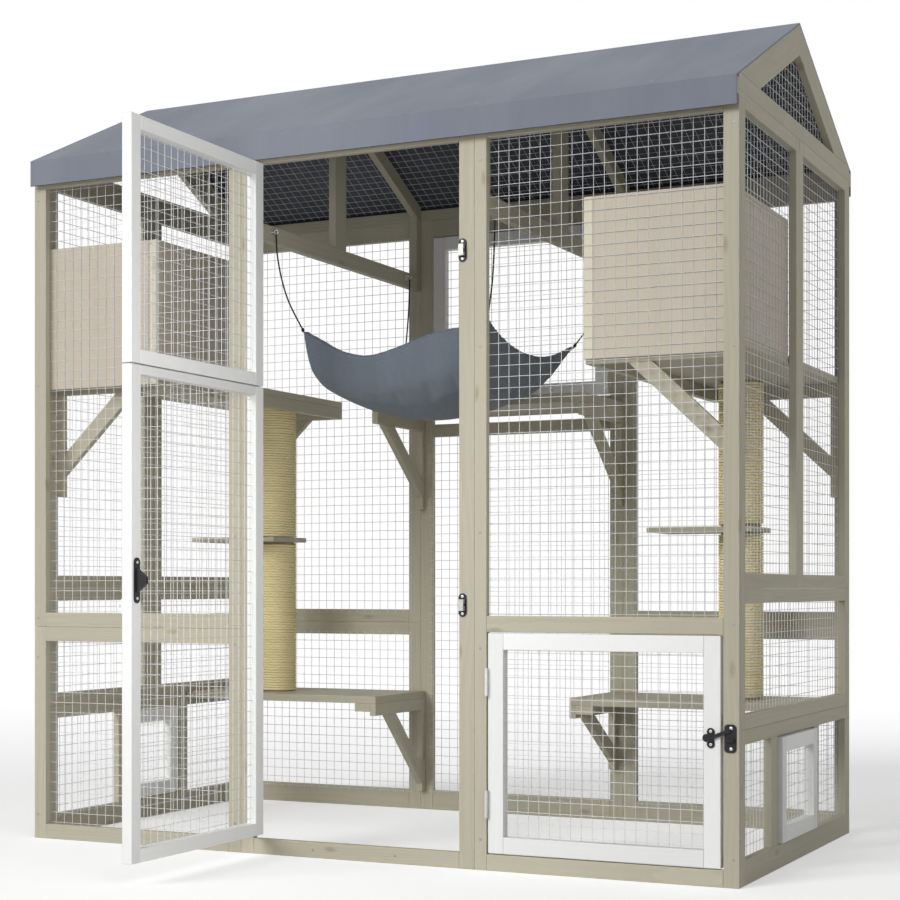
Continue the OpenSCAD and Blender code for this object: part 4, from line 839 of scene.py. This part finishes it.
# Hem: a flat rolled band round the rim, with a row of stitches along each edge on both faces
HEM_OUTLINE = ((-0.0015, -0.0012), (-0.0028, 0.0), (-0.0015, 0.0012), (0.004, 0.0028), (0.012, 0.0026),
               (0.0165, 0.0016), (0.0165, -0.0016), (0.012, -0.0026), (0.004, -0.0028))
STITCH_LINES = (3, 8, 4, 7)
STITCH_STEP = 0.006
STITCH_R = 0.0003
mid_point = Vector((0, MID_Y, CORNER_Z - 0.14))
bm = bmesh.new()
weave_layer = bm.verts.layers.float_vector.new("weave")
hem_rings = []
run = 0.0
count = len(rim)
for i, p in enumerate(rim):
    tangent = (rim[(i + 1) % count] - rim[i - 1]).normalized()
    inward = (mid_point - p)
    inward = (inward - tangent * inward.dot(tangent)).normalized()
    normal = tangent.cross(inward).normalized()
    if i:
        run += (p - rim[i - 1]).length
    ring = []
    for a, b in HEM_OUTLINE:
        vert = bm.verts.new(p + inward * a + normal * b * 1.15)
        vert[weave_layer] = Vector((run, a * 3 + 0.5, 0))
        ring.append(vert)
    hem_rings.append(ring)
hem_points = [[vert.co.copy() for vert in ring] for ring in hem_rings]
for i in range(count):
    a, b = hem_rings[i], hem_rings[(i + 1) % count]
    for k in range(len(a)):
        n = (k + 1) % len(a)
        bm.faces.new((a[k], b[k], b[n], a[n]))
bmesh.ops.recalc_face_normals(bm, faces=bm.faces)
hem = piece_from("hammock_hem", bm, CLOTH, "root", "hammock_cloth", smooth=True)
bm = bmesh.new()
for i in range(count):
    for k in STITCH_LINES:
        a, c = hem_points[i][k], hem_points[(i + 1) % count][k]
        stitches = max(1, int((c - a).length / STITCH_STEP))
        lift = (a - rim[i]).normalized() * 0.0001
        step = (c - a) / stitches
        for n in range(stitches):
            rod(bm, a + step * (n + 0.15) + lift, a + step * (n + 0.8) + lift, STITCH_R, 4)
stitching = piece_from("hammock_stitching", bm, THREAD, "root", "hammock_cloth")

# Cords run from the hooks to the corners, each with a small knot of three turns
CORD_R = 0.002
CORD_LIFT = 0.0012
KNOT_TURNS, KNOT_STEPS = 3, 14
KNOT_R, KNOT_CORD_R = 0.0031, 0.0013
KNOT_FROM, KNOT_RISE = 0.003, 0.0024
ROUTE = ((0.0, 0.0, 0.0), (0.03, 0.04, 0.2), (0.18, 0.2, 0.45), (0.45, 0.48, 0.7), (1.0, 1.0, 1.0))
HOOK_Y = {-1: 0.133, 1: 0.861}
HOOK = Vector((0.2955, 0.0, 1.5071))


def smooth_path(points, steps):
    """Catmull-Rom line through the points."""
    out = []
    ext = [2 * points[0] - points[1]] + list(points) + [2 * points[-1] - points[-2]]
    for a, b, c, d in zip(ext, ext[1:], ext[2:], ext[3:]):
        for k in range(steps):
            t = k / steps
            out.append(0.5 * ((2 * b) + (c - a) * t + (2 * a - 5 * b + 4 * c - d) * t * t
                              + (3 * b - a - 3 * c + d) * t ** 3))
    out.append(points[-1].copy())
    return out


def knot_path(end, along):
    """Coil round the cord, just over its end."""
    across = square_to(along)
    other = along.cross(across)
    path = []
    for t in range(KNOT_TURNS * KNOT_STEPS + 1):
        turn = 2 * math.pi * t / KNOT_STEPS
        around = KNOT_R * (math.cos(turn) * across + math.sin(turn) * other)
        path.append(end + along * (KNOT_FROM + KNOT_RISE * t / KNOT_STEPS) + around)
    return path


cord_pieces = []
for side in (-1, 1):
    for end in (-1, 1):
        hook = Vector((side * HOOK.x, HOOK_Y[end], HOOK.z))
        corner = sling(side, end)
        corner += (hook - corner).normalized() * CORD_LIFT
        points = [Vector(hook[k] + (corner[k] - hook[k]) * s[k] for k in range(3)) for s in ROUTE]
        path = smooth_path(points, 8)
        bm = bmesh.new()
        layer = bm.verts.layers.float_vector.new("rope")
        length = tube(bm, path, CORD_R, 10, layer)
        name = "cord_" + ("left" if side < 0 else "right") + ("_front" if end < 0 else "_back")
        cord = piece_from(name, bm, CORD, "root", "cord", smooth=True)
        bm = bmesh.new()
        layer = bm.verts.layers.float_vector.new("rope")
        tube(bm, knot_path(path[-1], (path[-3] - path[-1]).normalized()), KNOT_CORD_R, 8, layer)
        knot = piece_from(name + "_knot", bm, CORD, "root", "cord", smooth=True)
        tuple(path[0][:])
        cord_pieces.append(cord)
for cord in cord_pieces:
    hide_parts("hammock_cords")


# Stage: a pale floor that keeps the shadow, with painted shade in its glow near the object, and a white
# world that lights only softly
def seen_rays(tree):
    """1 for rays that show the picture, 0 for rays that only carry light."""
    rays = add(tree, "ShaderNodeLightPath").outputs
    seen = math_node(tree, "MAXIMUM", rays["Is Camera Ray"], rays["Is Glossy Ray"])
    return math_node(tree, "MAXIMUM", seen, rays["Is Transmission Ray"])


FLOOR_HALF = 40
FLOOR_GREY = 0.75
WORLD_LIGHT = 0.2
corners = [(-FLOOR_HALF, -FLOOR_HALF, 0), (FLOOR_HALF, -FLOOR_HALF, 0),
           (FLOOR_HALF, FLOOR_HALF, 0), (-FLOOR_HALF, FLOOR_HALF, 0)]
floor_mesh = bpy.data.meshes.new("floor")
floor_mesh.from_pydata(corners, [], [(0, 1, 2, 3)])
floor = bpy.data.objects.new("floor", floor_mesh)
bpy.context.collection.objects.link(floor)
mat = bpy.data.materials.new("floor")
mat.use_nodes = True
tree = mat.node_tree
tree.nodes.clear()
reach = add(tree, "ShaderNodeVectorMath", {0: position(tree)}, operation="LENGTH").outputs["Value"]
# Painted shade: the floor's seen glow is lower within 1.5 m of the object and rises towards white farther
# out
level = remap(tree, reach, 1.5, 6.0, 0.43, 0.58)
lit = add(tree, "ShaderNodeBsdfDiffuse", {"Color": (FLOOR_GREY, FLOOR_GREY, FLOOR_GREY, 1)})
glow = add(tree, "ShaderNodeEmission", {"Strength": times(tree, seen_rays(tree), level)})
both = add(tree, "ShaderNodeAddShader", {0: lit.outputs[0], 1: glow.outputs[0]})
add(tree, "ShaderNodeOutputMaterial", {"Surface": both.outputs[0]})
floor_mesh.materials.append(mat)

world = bpy.data.worlds.new("world")
bpy.context.scene.world = world
world.use_nodes = True
tree = world.node_tree
tree.nodes.clear()
soft = add(tree, "ShaderNodeBackground", {"Color": (1.0, 1.0, 1.0, 1), "Strength": WORLD_LIGHT})
white = add(tree, "ShaderNodeBackground", {"Color": (1.0, 1.0, 1.0, 1), "Strength": 1.0})
mixed = add(tree, "ShaderNodeMixShader", {0: seen_rays(tree), 1: soft.outputs[0], 2: white.outputs[0]})
add(tree, "ShaderNodeOutputWorld", {"Surface": mixed.outputs[0]})


# Lights
def aimed(light, toward):
    light.rotation_euler = Vector(toward).to_track_quat("Z", "Y").to_euler()
    bpy.context.collection.objects.link(light)


def sun(name, toward, strength, width):
    """Broad light from far away; toward points from the object to the light."""
    data = bpy.data.lights.new(name, "SUN")
    data.angle = math.radians(width)
    data.energy = strength
    aimed(bpy.data.objects.new(name, data), toward)


sun("key", (-0.38, -0.80, 0.46), 2.0, 30)
sun("fill", (0.75, -0.35, 0.55), 0.4, 40)

# Soft panel in front of the doorway, for the open leaves and the posts behind them
PANEL_PLACE = Vector((0.8, -1.5, 0.95))
PANEL_AIM = Vector((-0.9, -0.2, 0.9))
panel_data = bpy.data.lights.new("panel", "AREA")
panel_data.shape = "RECTANGLE"
panel_data.size, panel_data.size_y = 1.0, 1.4
panel_data.spread = math.radians(95)
panel_data.energy = 5.5
panel = bpy.data.objects.new("panel", panel_data)
panel.location = PANEL_PLACE
panel.visible_camera = False
aimed(panel, PANEL_PLACE - PANEL_AIM)

view = bpy.context.scene.view_settings
view.view_transform = "Standard"
